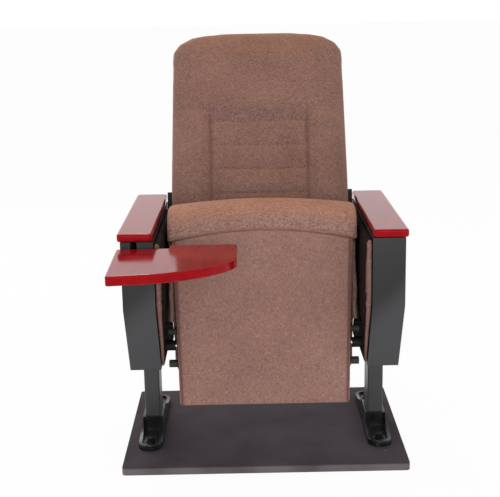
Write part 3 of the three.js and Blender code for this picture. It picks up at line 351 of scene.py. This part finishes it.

# %% [markdown]
# One function dyes four cloths: one for the seat, one with less contrast for the panel under it,
# a darker copy for the back, and one for the side pads. The back and the pads are darkened copies
# of the same dyes, which is painted shade. Only the last has near black painted shade where the
# normal points sideways, into the narrow gap beside the seat. Each set of dyes goes from dark
# yarns over the middle shade to light ones. More contrast brings those ends closer together.

# %% Woven cloth
MAUVES = ((0.120, 0.056, 0.044), (0.262, 0.138, 0.112), (0.450, 0.275, 0.225))
TANS = ((0.220, 0.078, 0.042), (0.420, 0.172, 0.093), (0.640, 0.310, 0.188))
SEAM_BROWN = (0.075, 0.018, 0.014)
SEAM_SHARE = 0.8
GAP_SHADE = (0.012, 0.006, 0.005)
GAP_SHADE_FROM, GAP_SHADE_FULLY = 0.14, 0.05
TOP_LIGHT_FROM, TOP_LIGHT_FULLY = -0.1, 0.9
WARP_GRAIN = (950, 950, 150)
WEFT_GRAIN = (150, 150, 950)
FLECK_SCALE = 820
CLOUD_SCALE = 9
DARK_END, LIGHT_END = 0.05, 0.06
MIDDLE, MIDDLE_FROM, MIDDLE_TO = 0.5, 0.49, 0.51
SHADE_SHARES = (0.45, 0.30, 0.15, 0.1, 0.04)
HEIGHT_SHARES = (0.5, 0.5, 0.4)
CLOTH_ROUGHNESS = 0.92
WEAVE_DEPTH = 0.0005
SHEEN = {"Sheen Weight": 0.3, "Sheen Roughness": 0.45, "Sheen Tint": (1.0, 0.55, 0.35, 1)}
NO_SHEEN = {"Specular IOR Level": 0.1}


def dyed(finish, shade, colours, strength, contrast):
    dark, middle, light = (tinted(colour, strength) for colour in colours)
    first, last = MIDDLE - DARK_END / contrast, MIDDLE + LIGHT_END / contrast
    stops = [(first, dark), (MIDDLE_FROM, middle), (MIDDLE_TO, middle), (last, light)]
    return finish.ramp(shade, stops)


def weighed(wires, shares):
    """Adds the wires, each times its share."""
    first, *others = (wire * share for wire, share in zip(wires, shares))
    return sum(others, first)


def woven_cloth(name, strength, contrast, tan_above, gloss, gap_shaded=False):
    finish = Finish(name)
    facing = finish.facing()
    threads = weave(finish, facing)
    warp = finish.grain(WARP_GRAIN, detail=2.0)
    weft = finish.grain(WEFT_GRAIN, detail=2.0)
    flecks = finish.noise(FLECK_SCALE, detail=1.0)
    cloud = finish.noise(CLOUD_SCALE, detail=2.0)
    shade = weighed((warp, weft, flecks, cloud, threads), SHADE_SHARES)
    mauve = dyed(finish, shade, MAUVES, strength, contrast)
    tan = dyed(finish, shade, TANS, strength, contrast)
    # Painted light from above: the cloth turns tan as its normal turns up.
    painted_light_share = finish.between(facing.out("Z"), TOP_LIGHT_FROM, TOP_LIGHT_FULLY, 0.0, tan_above)
    cloth = finish.blend(painted_light_share, mauve, tan)
    # Near black painted shade on the faces that do not look forward, in the gap beside the seat.
    if gap_shaded:
        forward = facing.out("Y") * facing.out("Y")
        cloth = finish.blend(finish.between(forward, GAP_SHADE_FROM, GAP_SHADE_FULLY), cloth, GAP_SHADE)
    # Darker where the meshes mark a seam: dirt and painted shade in the fold, and dark piping on
    # the panel.
    seam = finish.node("ShaderNodeAttribute", {"attribute_name": "seam"}).out("Fac")
    colour = finish.blend(seam * SEAM_SHARE, cloth, SEAM_BROWN)
    height = weighed((threads, warp, weft), HEIGHT_SHARES)
    return finish.surface(colour, CLOTH_ROUGHNESS, height, WEAVE_DEPTH, **gloss)


# The second number scales the dyes: the back and the side pads are darker copies, which is painted
# shade.
seat_fabric = woven_cloth("woven_fabric", 0.95, contrast=0.6, tan_above=0.65, gloss=SHEEN)
panel_fabric = woven_cloth("panel_fabric", 0.95, contrast=0.34, tan_above=0.5, gloss=SHEEN)
back_fabric = woven_cloth("back_fabric", 0.74, contrast=0.52, tan_above=0.55, gloss=SHEEN)
pad_fabric = woven_cloth(
    "pad_fabric", 0.76, contrast=0.5, tan_above=0.9, gloss=NO_SHEEN, gap_shaded=True)
print("cloths:", [m.name for m in (seat_fabric, panel_fabric, back_fabric, pad_fabric)])

# %% [markdown]
# ## Red lacquer
# The armrests and the tablet are boards of deep red lacquer. Seen from low down, it mirrors the
# white room, which is why the tops look pale pink in the picture and the edges blood red. So the
# colour stays deep, the gleam is tinted red, and only a few duller streaks, as hands leave them,
# break the mirror.

# %% Red lacquer
LACQUER_STOPS = [(0.35, (0.230, 0.0035, 0.006)), (0.7, (0.310, 0.0045, 0.008))]
RED_GLINT = (0.80, 0.12, 0.13, 1)
LACQUER_IOR = 1.44
LACQUER_SMOOTH, LACQUER_DULL = 0.10, 0.14
LACQUER_GRAIN = (60, 9, 60)
LACQUER_STREAKS = (30, 6, 30)
STREAK_FROM, STREAK_FULLY = 0.3, 0.75


def red_lacquer():
    finish = Finish("red_lacquer")
    colour = finish.ramp(finish.grain(LACQUER_GRAIN, detail=3.0), LACQUER_STOPS)
    streaks = finish.grain(LACQUER_STREAKS, detail=2.0)
    roughness = finish.between(streaks, STREAK_FROM, STREAK_FULLY, LACQUER_SMOOTH, LACQUER_DULL)
    return finish.surface(colour, roughness, IOR=LACQUER_IOR, **{"Specular Tint": RED_GLINT})


lacquer = red_lacquer()
print("lacquer:", lacquer.name)

# %% [markdown]
# ## Painted sheet, laminate and columns
# The folded covers have a dark grey satin powder coat with a very fine grain. The outer boards
# are a laminate of the same colour, the columns are painted a little glossier, and the hinges are
# black. One function makes them all: the grain comes from fine noise, and a slow cloud of noise
# moves both colour and roughness, as on any large painted face. The lower half of a cover slopes
# under and is painted lighter, as painted light bounced up from the floor. It is told by its
# normal, which points a little down.

# %% Dark paints
UNDER_FROM, UNDER_FULLY = -0.15, -0.35
DARKER, LIGHTER = 0.82, 1.22
SMOOTHER, ROUGHER = 0.05, 0.07
DARKER_AT, LIGHTER_AT = 0.35, 0.65
SMOOTHER_AT, ROUGHER_AT = 0.3, 0.7
PAINT_CLOUD_SCALE = 6
CLOUD_AND_GRAIN = (0.7, 0.3)
DARK_PAINTS = {
    "satin_cover_paint": {
        "colour": (0.013, 0.013, 0.014), "rough": 0.45, "ior": 1.42,
        "grain_scale": 900, "grain_depth": 0.00012, "underside_light": 3.4,
    },
    "dark_laminate": {
        "colour": (0.014, 0.013, 0.013), "rough": 0.52, "ior": 1.4,
        "grain_scale": 500, "grain_depth": 0.0001,
    },
    "column_paint": {
        "colour": (0.034, 0.033, 0.035), "rough": 0.40, "ior": 1.5,
        "grain_scale": 1100, "grain_depth": 0.00008,
    },
    "black_painted_steel": {
        "colour": (0.006, 0.005, 0.005), "rough": 0.46, "ior": 1.25,
        "grain_scale": 700, "grain_depth": 0.0001,
    },
    "back_shell_plastic": {
        "colour": (0.020, 0.020, 0.022), "rough": 0.48, "ior": 1.45,
        "grain_scale": 1400, "grain_depth": 0.0003,
    },
}


def dark_paint(name, colour, rough, ior, grain_scale, grain_depth, underside_light=1.0):
    finish = Finish(name)
    under = finish.between(finish.facing().out("Z"), UNDER_FROM, UNDER_FULLY)
    cloud = finish.noise(PAINT_CLOUD_SCALE, detail=3.0)
    grain = finish.noise(grain_scale, detail=2.0)
    stops = [(DARKER_AT, tinted(colour, DARKER)), (LIGHTER_AT, tinted(colour, LIGHTER))]
    clean = finish.ramp(weighed((cloud, grain), CLOUD_AND_GRAIN), stops)
    # The lower half, whose normal points down, is painted lighter: painted light bounced up from
    # the floor.
    shade = finish.blend(under, clean, tinted(colour, underside_light))
    least, most = rough - SMOOTHER, rough + ROUGHER
    roughness = finish.between(cloud, SMOOTHER_AT, ROUGHER_AT, least, most)
    return finish.surface(shade, roughness, grain, grain_depth, IOR=ior)


paints = {name: dark_paint(name, **row) for name, row in DARK_PAINTS.items()}
print("paints:", list(paints))

# %% [markdown]
# ## Cast feet
# The feet are iron castings under black gloss enamel. The sand of the mould leaves soft lumps
# that the enamel does not hide, so the mirror of the room wobbles in it. Coarse and fine noise,
# added, gives that skin, and dust in it lifts the colour and the roughness a little.

# %% Black enamel
ENAMEL_BLACK = (0.005, 0.005, 0.006)
ENAMEL_DUST = (0.026, 0.025, 0.025)
ENAMEL_IOR = 1.40
ENAMEL_ROUGHNESS, DUST_ROUGHNESS = 0.24, 0.2
LUMP_SCALE, FINE_SCALE, DUST_SCALE = 95, 420, 38
DUST_FROM, DUST_FULLY = 0.56, 0.78
LUMPS_AND_FINE = (0.8, 0.25)
LUMP_DEPTH = 0.0009


def black_enamel():
    finish = Finish("black_enamel_casting")
    lumps = finish.noise(LUMP_SCALE, detail=3.0)
    fine = finish.noise(FINE_SCALE, detail=2.0)
    dust = finish.between(finish.noise(DUST_SCALE, detail=4.0), DUST_FROM, DUST_FULLY)
    colour = finish.blend(dust, ENAMEL_BLACK, ENAMEL_DUST)
    roughness = dust * DUST_ROUGHNESS + ENAMEL_ROUGHNESS
    skin = weighed((lumps, fine), LUMPS_AND_FINE)
    return finish.surface(colour, roughness, skin, LUMP_DEPTH, IOR=ENAMEL_IOR)


enamel = black_enamel()
print("enamel:", enamel.name)

# %% [markdown]
# ## Mat on the base board
# The board is wrapped in a charcoal mat, nearly black with a touch of plum, and lint shows on it
# as pale specks. Its upright edges are painted lighter in patches, as painted light on the edges.
# The edge is told from the top by the height on the board alone, so no picture or map is needed.

# %% Charcoal mat
BOARD_TOP = 0.021
EDGE_FROM, EDGE_FULLY = BOARD_TOP - 0.001, BOARD_TOP - 0.006
MAT_STOPS = [(0.36, (0.024, 0.016, 0.021)), (0.66, (0.068, 0.050, 0.062))]
MAT_EDGE_LIGHT = (0.155, 0.136, 0.147)
EDGE_LIGHT_SHARE = 0.8
PATCHY_FROM, PATCHY_FULLY = 0.3, 0.55
LEAST_EDGE_LIGHT = 0.45
LINT = (0.42, 0.40, 0.39)
LINT_CELLS = 46.0
LINT_FROM, LINT_FULLY = 0.062, 0.045
RARE_FROM, RARE_FULLY = 0.62, 0.65
FIBRE_SCALE, PATCH_SCALE, RARE_SCALE = 520, 7, 19
FIBRE_AND_PATCH = (0.5, 0.5)
PATCH_HEIGHT = 0.6
MAT_ROUGHNESS = 0.84
MAT_DULL = {"Specular IOR Level": 0.3}
PILE_DEPTH = 0.0007


def charcoal_mat():
    finish = Finish("charcoal_mat")
    fibre = finish.noise(FIBRE_SCALE, detail=2.0)
    patch = finish.noise(PATCH_SCALE, detail=3.0)
    pile = finish.ramp(weighed((fibre, patch), FIBRE_AND_PATCH), MAT_STOPS)
    sockets = {"Vector": finish.place, "Scale": LINT_CELLS}
    cells = finish.node("ShaderNodeTexVoronoi", None, sockets)
    lint = finish.between(cells, LINT_FROM, LINT_FULLY)
    rare = finish.between(finish.noise(RARE_SCALE, detail=1.0), RARE_FROM, RARE_FULLY)
    height = finish.parts_of(finish.place).out("Z")
    on_edge = finish.between(height, EDGE_FROM, EDGE_FULLY)
    # Painted light on the upright edges of the mat, in patches.
    painted_light_share = on_edge * finish.between(patch, PATCHY_FROM, PATCHY_FULLY, LEAST_EDGE_LIGHT)
    edge_lit = finish.blend(painted_light_share * EDGE_LIGHT_SHARE, pile, MAT_EDGE_LIGHT)
    colour = finish.blend(lint * rare, edge_lit, LINT)
    nap = fibre + patch * PATCH_HEIGHT
    return finish.surface(colour, MAT_ROUGHNESS, nap, PILE_DEPTH, **MAT_DULL)


mat = charcoal_mat()
print("mat:", mat.name)

# %% [markdown]
# ## Plywood, bright steel and rubber
# Most of the plywood is hidden, but its edges show from below and behind: layers of light and
# dark veneer under a wavy face grain. The bolts, pins and springs are zinc plated, with fine
# turning marks that vary the roughness. The buffers are a dull olive grey rubber.

# %% Plywood, bright steel and rubber
VENEER_STOPS = [(0.32, (0.20, 0.105, 0.045)), (0.5, (0.36, 0.21, 0.10)), (0.7, (0.46, 0.30, 0.16))]
ZINC_STOPS = [(0.35, (0.30, 0.30, 0.29)), (0.65, (0.56, 0.56, 0.55))]
RUBBER_STOPS = [(0.35, (0.012, 0.012, 0.010)), (0.7, (0.032, 0.032, 0.026))]
VENEER_GRAIN = (46, 46, 5)
PORE_GRAIN = (900, 900, 60)
TURNING_GRAIN = (1500, 200, 1500)
STAIN_SCALE, BLOOM_SCALE, SKIN_SCALE = 120, 160, 700
WANDER_AND_PORES = (0.75, 0.25)
MARK_FROM, MARK_FULLY = 0.3, 0.7
WOOD_ROUGHNESS, RUBBER_ROUGHNESS = 0.66, 0.72
STEEL_SMOOTH, STEEL_DULL = 0.22, 0.42
PORE_DEPTH, TURNING_DEPTH, SKIN_DEPTH = 0.0002, 0.00006, 0.0002


def plywood():
    finish = Finish("plywood")
    wander = finish.grain(VENEER_GRAIN, detail=4.0)
    pores = finish.grain(PORE_GRAIN, detail=2.0)
    colour = finish.ramp(weighed((wander, pores), WANDER_AND_PORES), VENEER_STOPS)
    return finish.surface(colour, WOOD_ROUGHNESS, pores, PORE_DEPTH)


def bright_steel():
    finish = Finish("bright_steel")
    turned = finish.grain(TURNING_GRAIN, detail=2.0)
    colour = finish.ramp(finish.noise(STAIN_SCALE, detail=3.0), ZINC_STOPS)
    roughness = finish.between(turned, MARK_FROM, MARK_FULLY, STEEL_SMOOTH, STEEL_DULL)
    return finish.surface(colour, roughness, turned, TURNING_DEPTH, Metallic=1.0)


def buffer_rubber():
    finish = Finish("buffer_rubber")
    colour = finish.ramp(finish.noise(BLOOM_SCALE, detail=3.0), RUBBER_STOPS)
    skin = finish.noise(SKIN_SCALE, detail=1.0)
    return finish.surface(colour, RUBBER_ROUGHNESS, skin, SKIN_DEPTH)


finish_of_slot = {
    **paints,
    "woven_fabric": seat_fabric,
    "red_lacquer": lacquer,
    "black_enamel_casting": enamel,
    "charcoal_mat": mat,
    "plywood": plywood(),
    "bright_steel": bright_steel(),
    "buffer_rubber": buffer_rubber(),
}
print("finishes:", len(finish_of_slot))

# %% [markdown]
# ## Rigid pieces
# The solids of the frame have the right shape but razor edges and flat facets. A real edge is
# always a little round, and it is that roundness that catches light. Three modifiers do it
# without touching the solid: points are merged and the faces set smooth, a small bevel rounds
# what is sharper than a set angle, and weighted normals keep the large faces flat.

# %% Smooth the solids and give them their finish
MERGE_REACH = 0.00001
SHARP_ANGLE = math.radians(32)
FLAT_WEIGHT = 90
EDGE_SEGMENTS = 2
EDGE_ROUND = {
    "red_lacquer": 0.0009,
    "satin_cover_paint": 0.0007,
    "black_enamel_casting": 0.0016,
    "charcoal_mat": 0.0022,
    "column_paint": 0.0008,
}
USUAL_ROUND = 0.0005


def smoothing_group():
    group = bpy.data.node_groups.new("merge_and_smooth", "GeometryNodeTree")
    group.interface.new_socket("Geometry", in_out="INPUT", socket_type="NodeSocketGeometry")
    group.interface.new_socket("Geometry", in_out="OUTPUT", socket_type="NodeSocketGeometry")
    start = group.nodes.new("NodeGroupInput")
    merge = group.nodes.new("GeometryNodeMergeByDistance")
    merge.inputs["Distance"].default_value = MERGE_REACH
    clear = group.nodes.new("GeometryNodeRemoveAttribute")
    clear.inputs["Name"].default_value = "custom_normal"
    smooth = group.nodes.new("GeometryNodeSetShadeSmooth")
    end = group.nodes.new("NodeGroupOutput")
    for before, after in zip((start, clear, merge, smooth), (clear, merge, smooth, end)):
        group.links.new(before.outputs[0], after.inputs[0])
    return group


merge_and_smooth = smoothing_group()


def round_edges(piece, width):
    merge = piece.modifiers.new("merge_and_smooth", "NODES")
    merge.node_group = merge_and_smooth
    bevel = piece.modifiers.new("round_edges", "BEVEL")
    bevel.width = width
    bevel.segments = EDGE_SEGMENTS
    bevel.limit_method = "ANGLE"
    bevel.angle_limit = SHARP_ANGLE
    bevel.use_clamp_overlap = True
    flat = piece.modifiers.new("keep_faces_flat", "WEIGHTED_NORMAL")
    flat.weight = FLAT_WEIGHT
    flat.keep_sharp = True


def give_finish(piece, material):
    for material_slot in piece.material_slots:
        material_slot.link = "OBJECT"
        material_slot.material = material


for name, piece in nodes.items():
    slot = slot_of_node[name]
    give_finish(piece, finish_of_slot[slot])
    if slot != "woven_fabric":
        round_edges(piece, EDGE_ROUND.get(slot, USUAL_ROUND))
print("finished solids:", len(nodes))

# %% [markdown]
# ## How the upholstery is padded
# A cushion is foam pulled into shape by its cover, and the cover is held down only at seams and
# edges. Drawing that by hand looks stiff. So each cushion starts as its plain solid, is rebuilt
# from even small faces, and is blown up a little by a cloth simulation, while the points at seams
# and at the boards behind it are held. How far a point may move is capped. Smoothing shrinks
# round corners, so points that sank into the measured solid are then put back on its surface.
# Seams come last, drawn in by moving points, because the rebuilding would erase so narrow a line.

# %% Helpers that read and move points


def numbers_of(piece, kind):
    flat = np.zeros(len(piece.data.vertices) * 3, np.float32)
    piece.data.vertices.foreach_get(kind, flat)
    return flat.reshape(-1, 3).astype(float)


def points_of(piece):
    return numbers_of(piece, "co")


def normals_of(piece):
    return numbers_of(piece, "normal")


def set_points(piece, points):
    piece.data.vertices.foreach_set("co", points.astype(np.float32).ravel())
    piece.data.update()


def carried(points, matrix):
    own = np.array(matrix, float)
    return points @ own[:3, :3].T + own[:3, 3]


def into_frame(points, matrix):
    return carried(points, matrix.inverted())


def step(value, start, length):
    """0 before start, 1 after start + length, and an even slope between them."""
    return np.clip((value - start) / length, 0, 1)


def below(value, edge, blur):
    """1 where the value is below the edge, 0 above it, with a soft change."""
    return 1 / (1 + np.exp((value - edge) / blur))


def line(distance, reach):
    """1 on a line and next to nothing further away than twice its reach."""
    return np.exp(-((distance / reach) ** 2))


print("point helpers ready")

# %% Helpers that rebuild a piece
RELAXING = 0.5


def plain_copy(node, name):
    mesh = nodes[node].data.copy()
    mesh.attributes.remove(mesh.attributes["custom_normal"])
    piece = bpy.data.objects.new(name, mesh)
    bpy.context.scene.collection.objects.link(piece)
    return piece


def baked(piece):
    depsgraph = bpy.context.evaluated_depsgraph_get()
    mesh = bpy.data.meshes.new_from_object(piece.evaluated_get(depsgraph))
    piece.modifiers.clear()
    piece.data = mesh
    return piece


def relax(piece, rounds):
    modifier = piece.modifiers.new("relax", "SMOOTH")
    modifier.factor = RELAXING
    modifier.iterations = rounds


def rebuild(piece, voxel, rounds):
    remesh = piece.modifiers.new("even_faces", "REMESH")
    remesh.mode = "VOXEL"
    remesh.voxel_size = voxel
    relax(piece, rounds)
    return baked(piece)


def soften(piece):
    surface = piece.modifiers.new("smooth_cover", "SUBSURF")
    surface.levels = surface.render_levels = 1
    return baked(piece)


def keep_outline(piece, node, rounds):
    """Puts points that sank into the measured solid back on its surface."""
    wrap = piece.modifiers.new("keep_outline", "SHRINKWRAP")
    wrap.target = nodes[node]
    wrap.wrap_mode = "OUTSIDE"
    relax(piece, rounds)
    return baked(piece)


print("rebuilding helpers ready")

# %% [markdown]
# The swelling itself is a short cloth simulation with air pressure inside and no gravity.

# %% Blow a piece up as cloth
CLOTH_FRAMES = 20
CLOTH_QUALITY = 4
CLOTH_PRESSURE = 4.0
CLOTH_STIFFNESS = 20
CLOTH_BENDING = 0.8
HELD_BACK = 0.9
LEAST_HELD = 0.01
SHORTEST = 1e-9


def add_cloth(piece, held):
    group = piece.vertex_groups.new(name="held")
    for index, weight in enumerate(held):
        if weight > LEAST_HELD:
            group.add([index], float(weight), "REPLACE")
    cloth = piece.modifiers.new("cloth", "CLOTH")
    settings = cloth.settings
    settings.quality = CLOTH_QUALITY
    settings.use_pressure = True
    settings.uniform_pressure_force = CLOTH_PRESSURE
    settings.effector_weights.gravity = 0
    settings.vertex_group_mass = "held"
    settings.tension_stiffness = CLOTH_STIFFNESS
    settings.compression_stiffness = CLOTH_STIFFNESS
    settings.bending_stiffness = CLOTH_BENDING
    cloth.collision_settings.use_collision = False
    cloth.point_cache.frame_start, cloth.point_cache.frame_end = 1, CLOTH_FRAMES


def inflate(piece, held, most):
    """Blows the piece up. held is 1 where a point is sewn down, and most is the longest move."""
    start = points_of(piece)
    add_cloth(piece, held)
    scene = bpy.context.scene
    for number in range(1, CLOTH_FRAMES + 1):
        scene.frame_set(number)
    baked(piece)
    scene.frame_set(1)
    move = points_of(piece) - start
    length = np.linalg.norm(move, axis=1)
    share = np.minimum(1.0, most / np.maximum(length, SHORTEST)) * (1 - held * HELD_BACK)
    set_points(piece, start + move * share[:, None])
    largest = float(np.minimum(length, most).max())
    print(piece.name, "largest move in mm:", round(largest * 1000, 1))


print("cloth frames:", CLOTH_FRAMES)

# %% Hand a piece over to the frame


def mark_seam(piece, weights=0.0):
    attribute = piece.data.attributes.new("seam", "FLOAT", "POINT")
    everywhere = np.broadcast_to(weights, len(piece.data.vertices))
    attribute.data.foreach_set("value", np.clip(everywhere, 0, 1).astype(np.float32))


def upholster(piece, node, cover=seat_fabric):
    faces = piece.data.polygons
    faces.foreach_set("use_smooth", np.ones(len(faces), bool))
    piece.data.materials.clear()
    piece.data.materials.append(cover)
    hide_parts(node)
    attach(piece, body_of_node[node])
    print(piece.name, "faces:", len(faces))


print("upholstering helpers ready")

# %% [markdown]
# ## Back cushion
# The back is one long cushion with a rounded top. Two seams run up it, about as far apart as the
# shoulder blades, with sewn channels between them and a fuller bolster outside each. Its rear
# lies flat on a board, so those points are held, and so are the seams while the rest swells. The
# two upper corners are stuffed a little fuller at the end.

# %% Back seams
BACK_FRAME = Matrix.Translation((0, 0.035, 0.333)) @ Matrix.Rotation(math.radians(-14), 4, "X")
BACK_FRONT, FRONT_BLUR = -0.022, 0.003
BACK_SEAM_X = 0.120
BACK_SEAM_TOP, TOP_BLUR = 0.482, 0.006
CHANNEL_TOP = 0.458
CHANNEL_PITCH = 0.060
CHANNEL_COUNT = 7
CHANNEL_END, END_BLUR = BACK_SEAM_X - 0.003, 0.002


def back_seams(local, seam_reach, channel_reach):
    x, y, z = local.T
    front = below(y, BACK_FRONT, FRONT_BLUR)
    upright = line(np.abs(x) - BACK_SEAM_X, seam_reach) * below(z, BACK_SEAM_TOP, TOP_BLUR)
    levels = [CHANNEL_TOP - CHANNEL_PITCH * i for i in range(CHANNEL_COUNT)]
    across = sum(line(z - level, channel_reach) for level in levels)
    return upright * front, across * below(np.abs(x), CHANNEL_END, END_BLUR) * front


print("channels:", CHANNEL_COUNT)

# %% Back cushion
BACK_VOXEL, BACK_ROUNDS = 0.006, 6
BACK_SWELL = 0.006
BACK_BOARD, BOARD_REACH = -0.010, 0.006
SEWN_REACH = 0.006
SEAM_REACH, SEAM_DEPTH = 0.0032, 0.0035
CHANNEL_HELD, CHANNEL_DEPTH = 0.8, 0.0012
SEAM_SHADE_REACH, SEAM_SHADE_SHARE = 0.0022, 0.4
CORNER_FULLNESS = 0.0036
CORNER_X, CORNER_WIDE = 0.110, 0.050
CORNER_Z, CORNER_HIGH = 0.602, 0.055


def back_cushion():
    piece = rebuild(plain_copy("back_cushion", "back_upholstery"), BACK_VOXEL, BACK_ROUNDS)
    local = into_frame(points_of(piece), BACK_FRAME)
    upright, across = back_seams(local, SEWN_REACH, SEWN_REACH)
    on_board = np.clip(1 + (local[:, 1] - BACK_BOARD) / BOARD_REACH, 0, 1)
    held = np.maximum(np.maximum(upright, across * CHANNEL_HELD), on_board)
    inflate(piece, np.clip(held, 0, 1), BACK_SWELL)
    keep_outline(soften(piece), "back_cushion", rounds=2)
    local = into_frame(points_of(piece), BACK_FRAME)
    x, _, z = local.T
    upright, across = back_seams(local, SEAM_REACH, SEAM_REACH)
    corner = step(np.abs(x), CORNER_X, CORNER_WIDE) * step(z, CORNER_Z, CORNER_HIGH)
    move = corner * CORNER_FULLNESS - upright * SEAM_DEPTH - across * CHANNEL_DEPTH
    set_points(piece, points_of(piece) + normals_of(piece) * move[:, None])
    # The upright seams are darkened: painted shade in the fold, and dirt.
    mark_seam(piece, back_seams(local, SEAM_SHADE_REACH, SEAM_SHADE_REACH)[0] * SEAM_SHADE_SHARE)
    upholster(piece, "back_cushion", cover=back_fabric)


back_cushion()

# %% [markdown]
# ## Seat cushion
# The seat is a thicker cushion whose front edge rolls over the board. While it is tipped up, that
# roll faces the ceiling and its cover is stretched tight; the tan on it is painted light from
# above.
# The points that lie on the board and under the panel are held, the sides may hardly move, because
# the padded standards are close, and the broad faces swell. Afterwards the sides are filled out
# above the hinge, and the rim of the cover is drawn forward round the board until it meets the
# panel.

# %% Fill the sides of the seat
SEAT_FRAME = Matrix.Translation((0, -0.195, 0.303)) @ Matrix.Rotation(math.radians(-3), 4, "X")
SEAT_SIDE = 0.2165
SIDE_SHARPNESS = 6
HINGE_TOP, HINGE_BLUR = 0.050, 0.008
SIDE_FULLNESS, FULL_TO, FULL_FADE = 0.0046, 0.120, 0.080
WAIST_DRAW, WAIST_FADE = 0.0055, 0.038
RIM_DRAW = 0.034
RIM_INNER, RIM_WIDE = 0.200, 0.006
RIM_BACK, RIM_DEEP = 0.028, 0.008
ROLL_LOW, ROLL_BLUR = 0.240, 0.010


def fill_sides(piece):
    """Fills the sides above the hinge, and draws the rim forward round the board to the panel."""
    local = into_frame(points_of(piece), SEAT_FRAME)
    x, y, z = local.T.copy()
    outer = np.clip(np.abs(x) / SEAT_SIDE, 0, 1) ** SIDE_SHARPNESS
    above = step(z, HINGE_TOP, HINGE_BLUR)
    waist = WAIST_DRAW * (1 - step(z, HINGE_TOP, WAIST_FADE))
    fullness = SIDE_FULLNESS * (1 - step(z, FULL_TO, FULL_FADE))
    local[:, 0] += np.sign(x) * outer * above * (fullness + waist)
    rim = step(np.abs(x), RIM_INNER, RIM_WIDE) * (1 - step(y, RIM_BACK, RIM_DEEP))
    local[:, 1] -= RIM_DRAW * rim * above * (1 - step(z, ROLL_LOW, ROLL_BLUR))
    set_points(piece, carried(local, SEAT_FRAME))


print("sides filled by up to mm:", (SIDE_FULLNESS + WAIST_DRAW) * 1000)

# %% Seat cushion
SEAT_VOXEL, SEAT_ROUNDS = 0.005, 8
SEAT_SWELL = 0.004
SIDE_WIDE, SIDE_EDGE, SIDE_HELD = 0.016, 0.012, 0.9
BOARD_FRONT, BOARD_BLUR = 0.026, 0.006
BOARD_HIGH = 0.262


def seat_cushion():
    piece = rebuild(plain_copy("seat_cushion", "seat_upholstery"), SEAT_VOXEL, SEAT_ROUNDS)
    x, y, z = into_frame(points_of(piece), SEAT_FRAME).T
    side = step(np.abs(x), SEAT_SIDE - SIDE_WIDE, SIDE_EDGE) * SIDE_HELD
    on_board = (1 - step(y, BOARD_FRONT, BOARD_BLUR)) * (z < BOARD_HIGH)
    inflate(piece, np.maximum(side, on_board), SEAT_SWELL)
    keep_outline(soften(piece), "seat_cushion", rounds=1)
    fill_sides(piece)
    mark_seam(piece)
    upholster(piece, "seat_cushion")


seat_cushion()

# %% [markdown]
# ## Panel under the seat
# The board under the seat is wrapped in the same cloth. It stays flat, but its edges are soft
# where the cloth turns round them, and its upper edge arches below the roll. A dark line of
# piping runs down each side, and the arched seam under the roll is darkened as painted shade.

# %% Underside panel
PANEL_VOXEL, PANEL_ROUNDS = 0.003, 2
PANEL_MIDDLE = 0.35
PANEL_TOP = 0.60
PANEL_SPREAD, SPREAD_LOW = 0.020, 0.5
PANEL_LIFT = 0.0035
PIPING_X, PIPING_TAPER, PIPING_REACH = 0.1968, 0.09, 0.0034
ARCH_FROM, ARCH_BLUR, ARCH_SHADE_SHARE = 0.3, 0.2, 0.6


def underside_panel():
    piece = plain_copy("seat_underside_panel", "panel_cover")
    rebuild(piece, PANEL_VOXEL, PANEL_ROUNDS)
    points = points_of(piece)
    x, _, z = points.T
    high = step(z, PANEL_MIDDLE, PANEL_TOP - PANEL_MIDDLE)
    points[:, 0] += x * PANEL_SPREAD * (SPREAD_LOW + high)
    points[:, 2] += PANEL_LIFT * np.clip(normals_of(piece)[:, 2], 0, 1) * high
    set_points(piece, points)
    edge = np.abs(x) - PIPING_X * (1 + PIPING_TAPER * (z - PANEL_MIDDLE))
    # Painted shade on the arched top edge, which lies under the roll.
    arch_shade = step(normals_of(piece)[:, 2], ARCH_FROM, ARCH_BLUR) * high * ARCH_SHADE_SHARE
    mark_seam(piece, np.maximum(line(edge, PIPING_REACH), arch_shade))
    upholster(piece, "seat_underside_panel", cover=panel_fabric)


underside_panel()

# %% [markdown]
# ## Side pads
# Each standard has a thin padded cushion on its inner face. It is fullest along the arm and thins
# out towards its lower edge, where the seat's hinge sits in a cut-out. It swells only a little,
# so that the seat can still pass between the pads.

# %% Side pads
PAD_VOXEL, PAD_ROUNDS = 0.005, 4
PAD_SWELL = 0.0015
PAD_BACK = 0.2387
PAD_EDGE, PAD_BLUR = 0.004, 0.008


def side_pad(side):
    node = "inner_side_pad_" + side
    piece = rebuild(plain_copy(node, "side_upholstery_" + side), PAD_VOXEL, PAD_ROUNDS)
    depth = PAD_BACK - np.abs(points_of(piece)[:, 0])
    inflate(piece, 1 - step(depth, PAD_EDGE, PAD_BLUR), PAD_SWELL)
    soften(piece)
    mark_seam(piece)
    upholster(piece, node, cover=pad_fabric)


for side in ("left", "right"):
    side_pad(side)

# %% [markdown]
# ## Size
# The dressed seat is meant to stay inside the measured one, apart from a little swelling of the
# cushions.

# %% Finish
print("seat dressed")
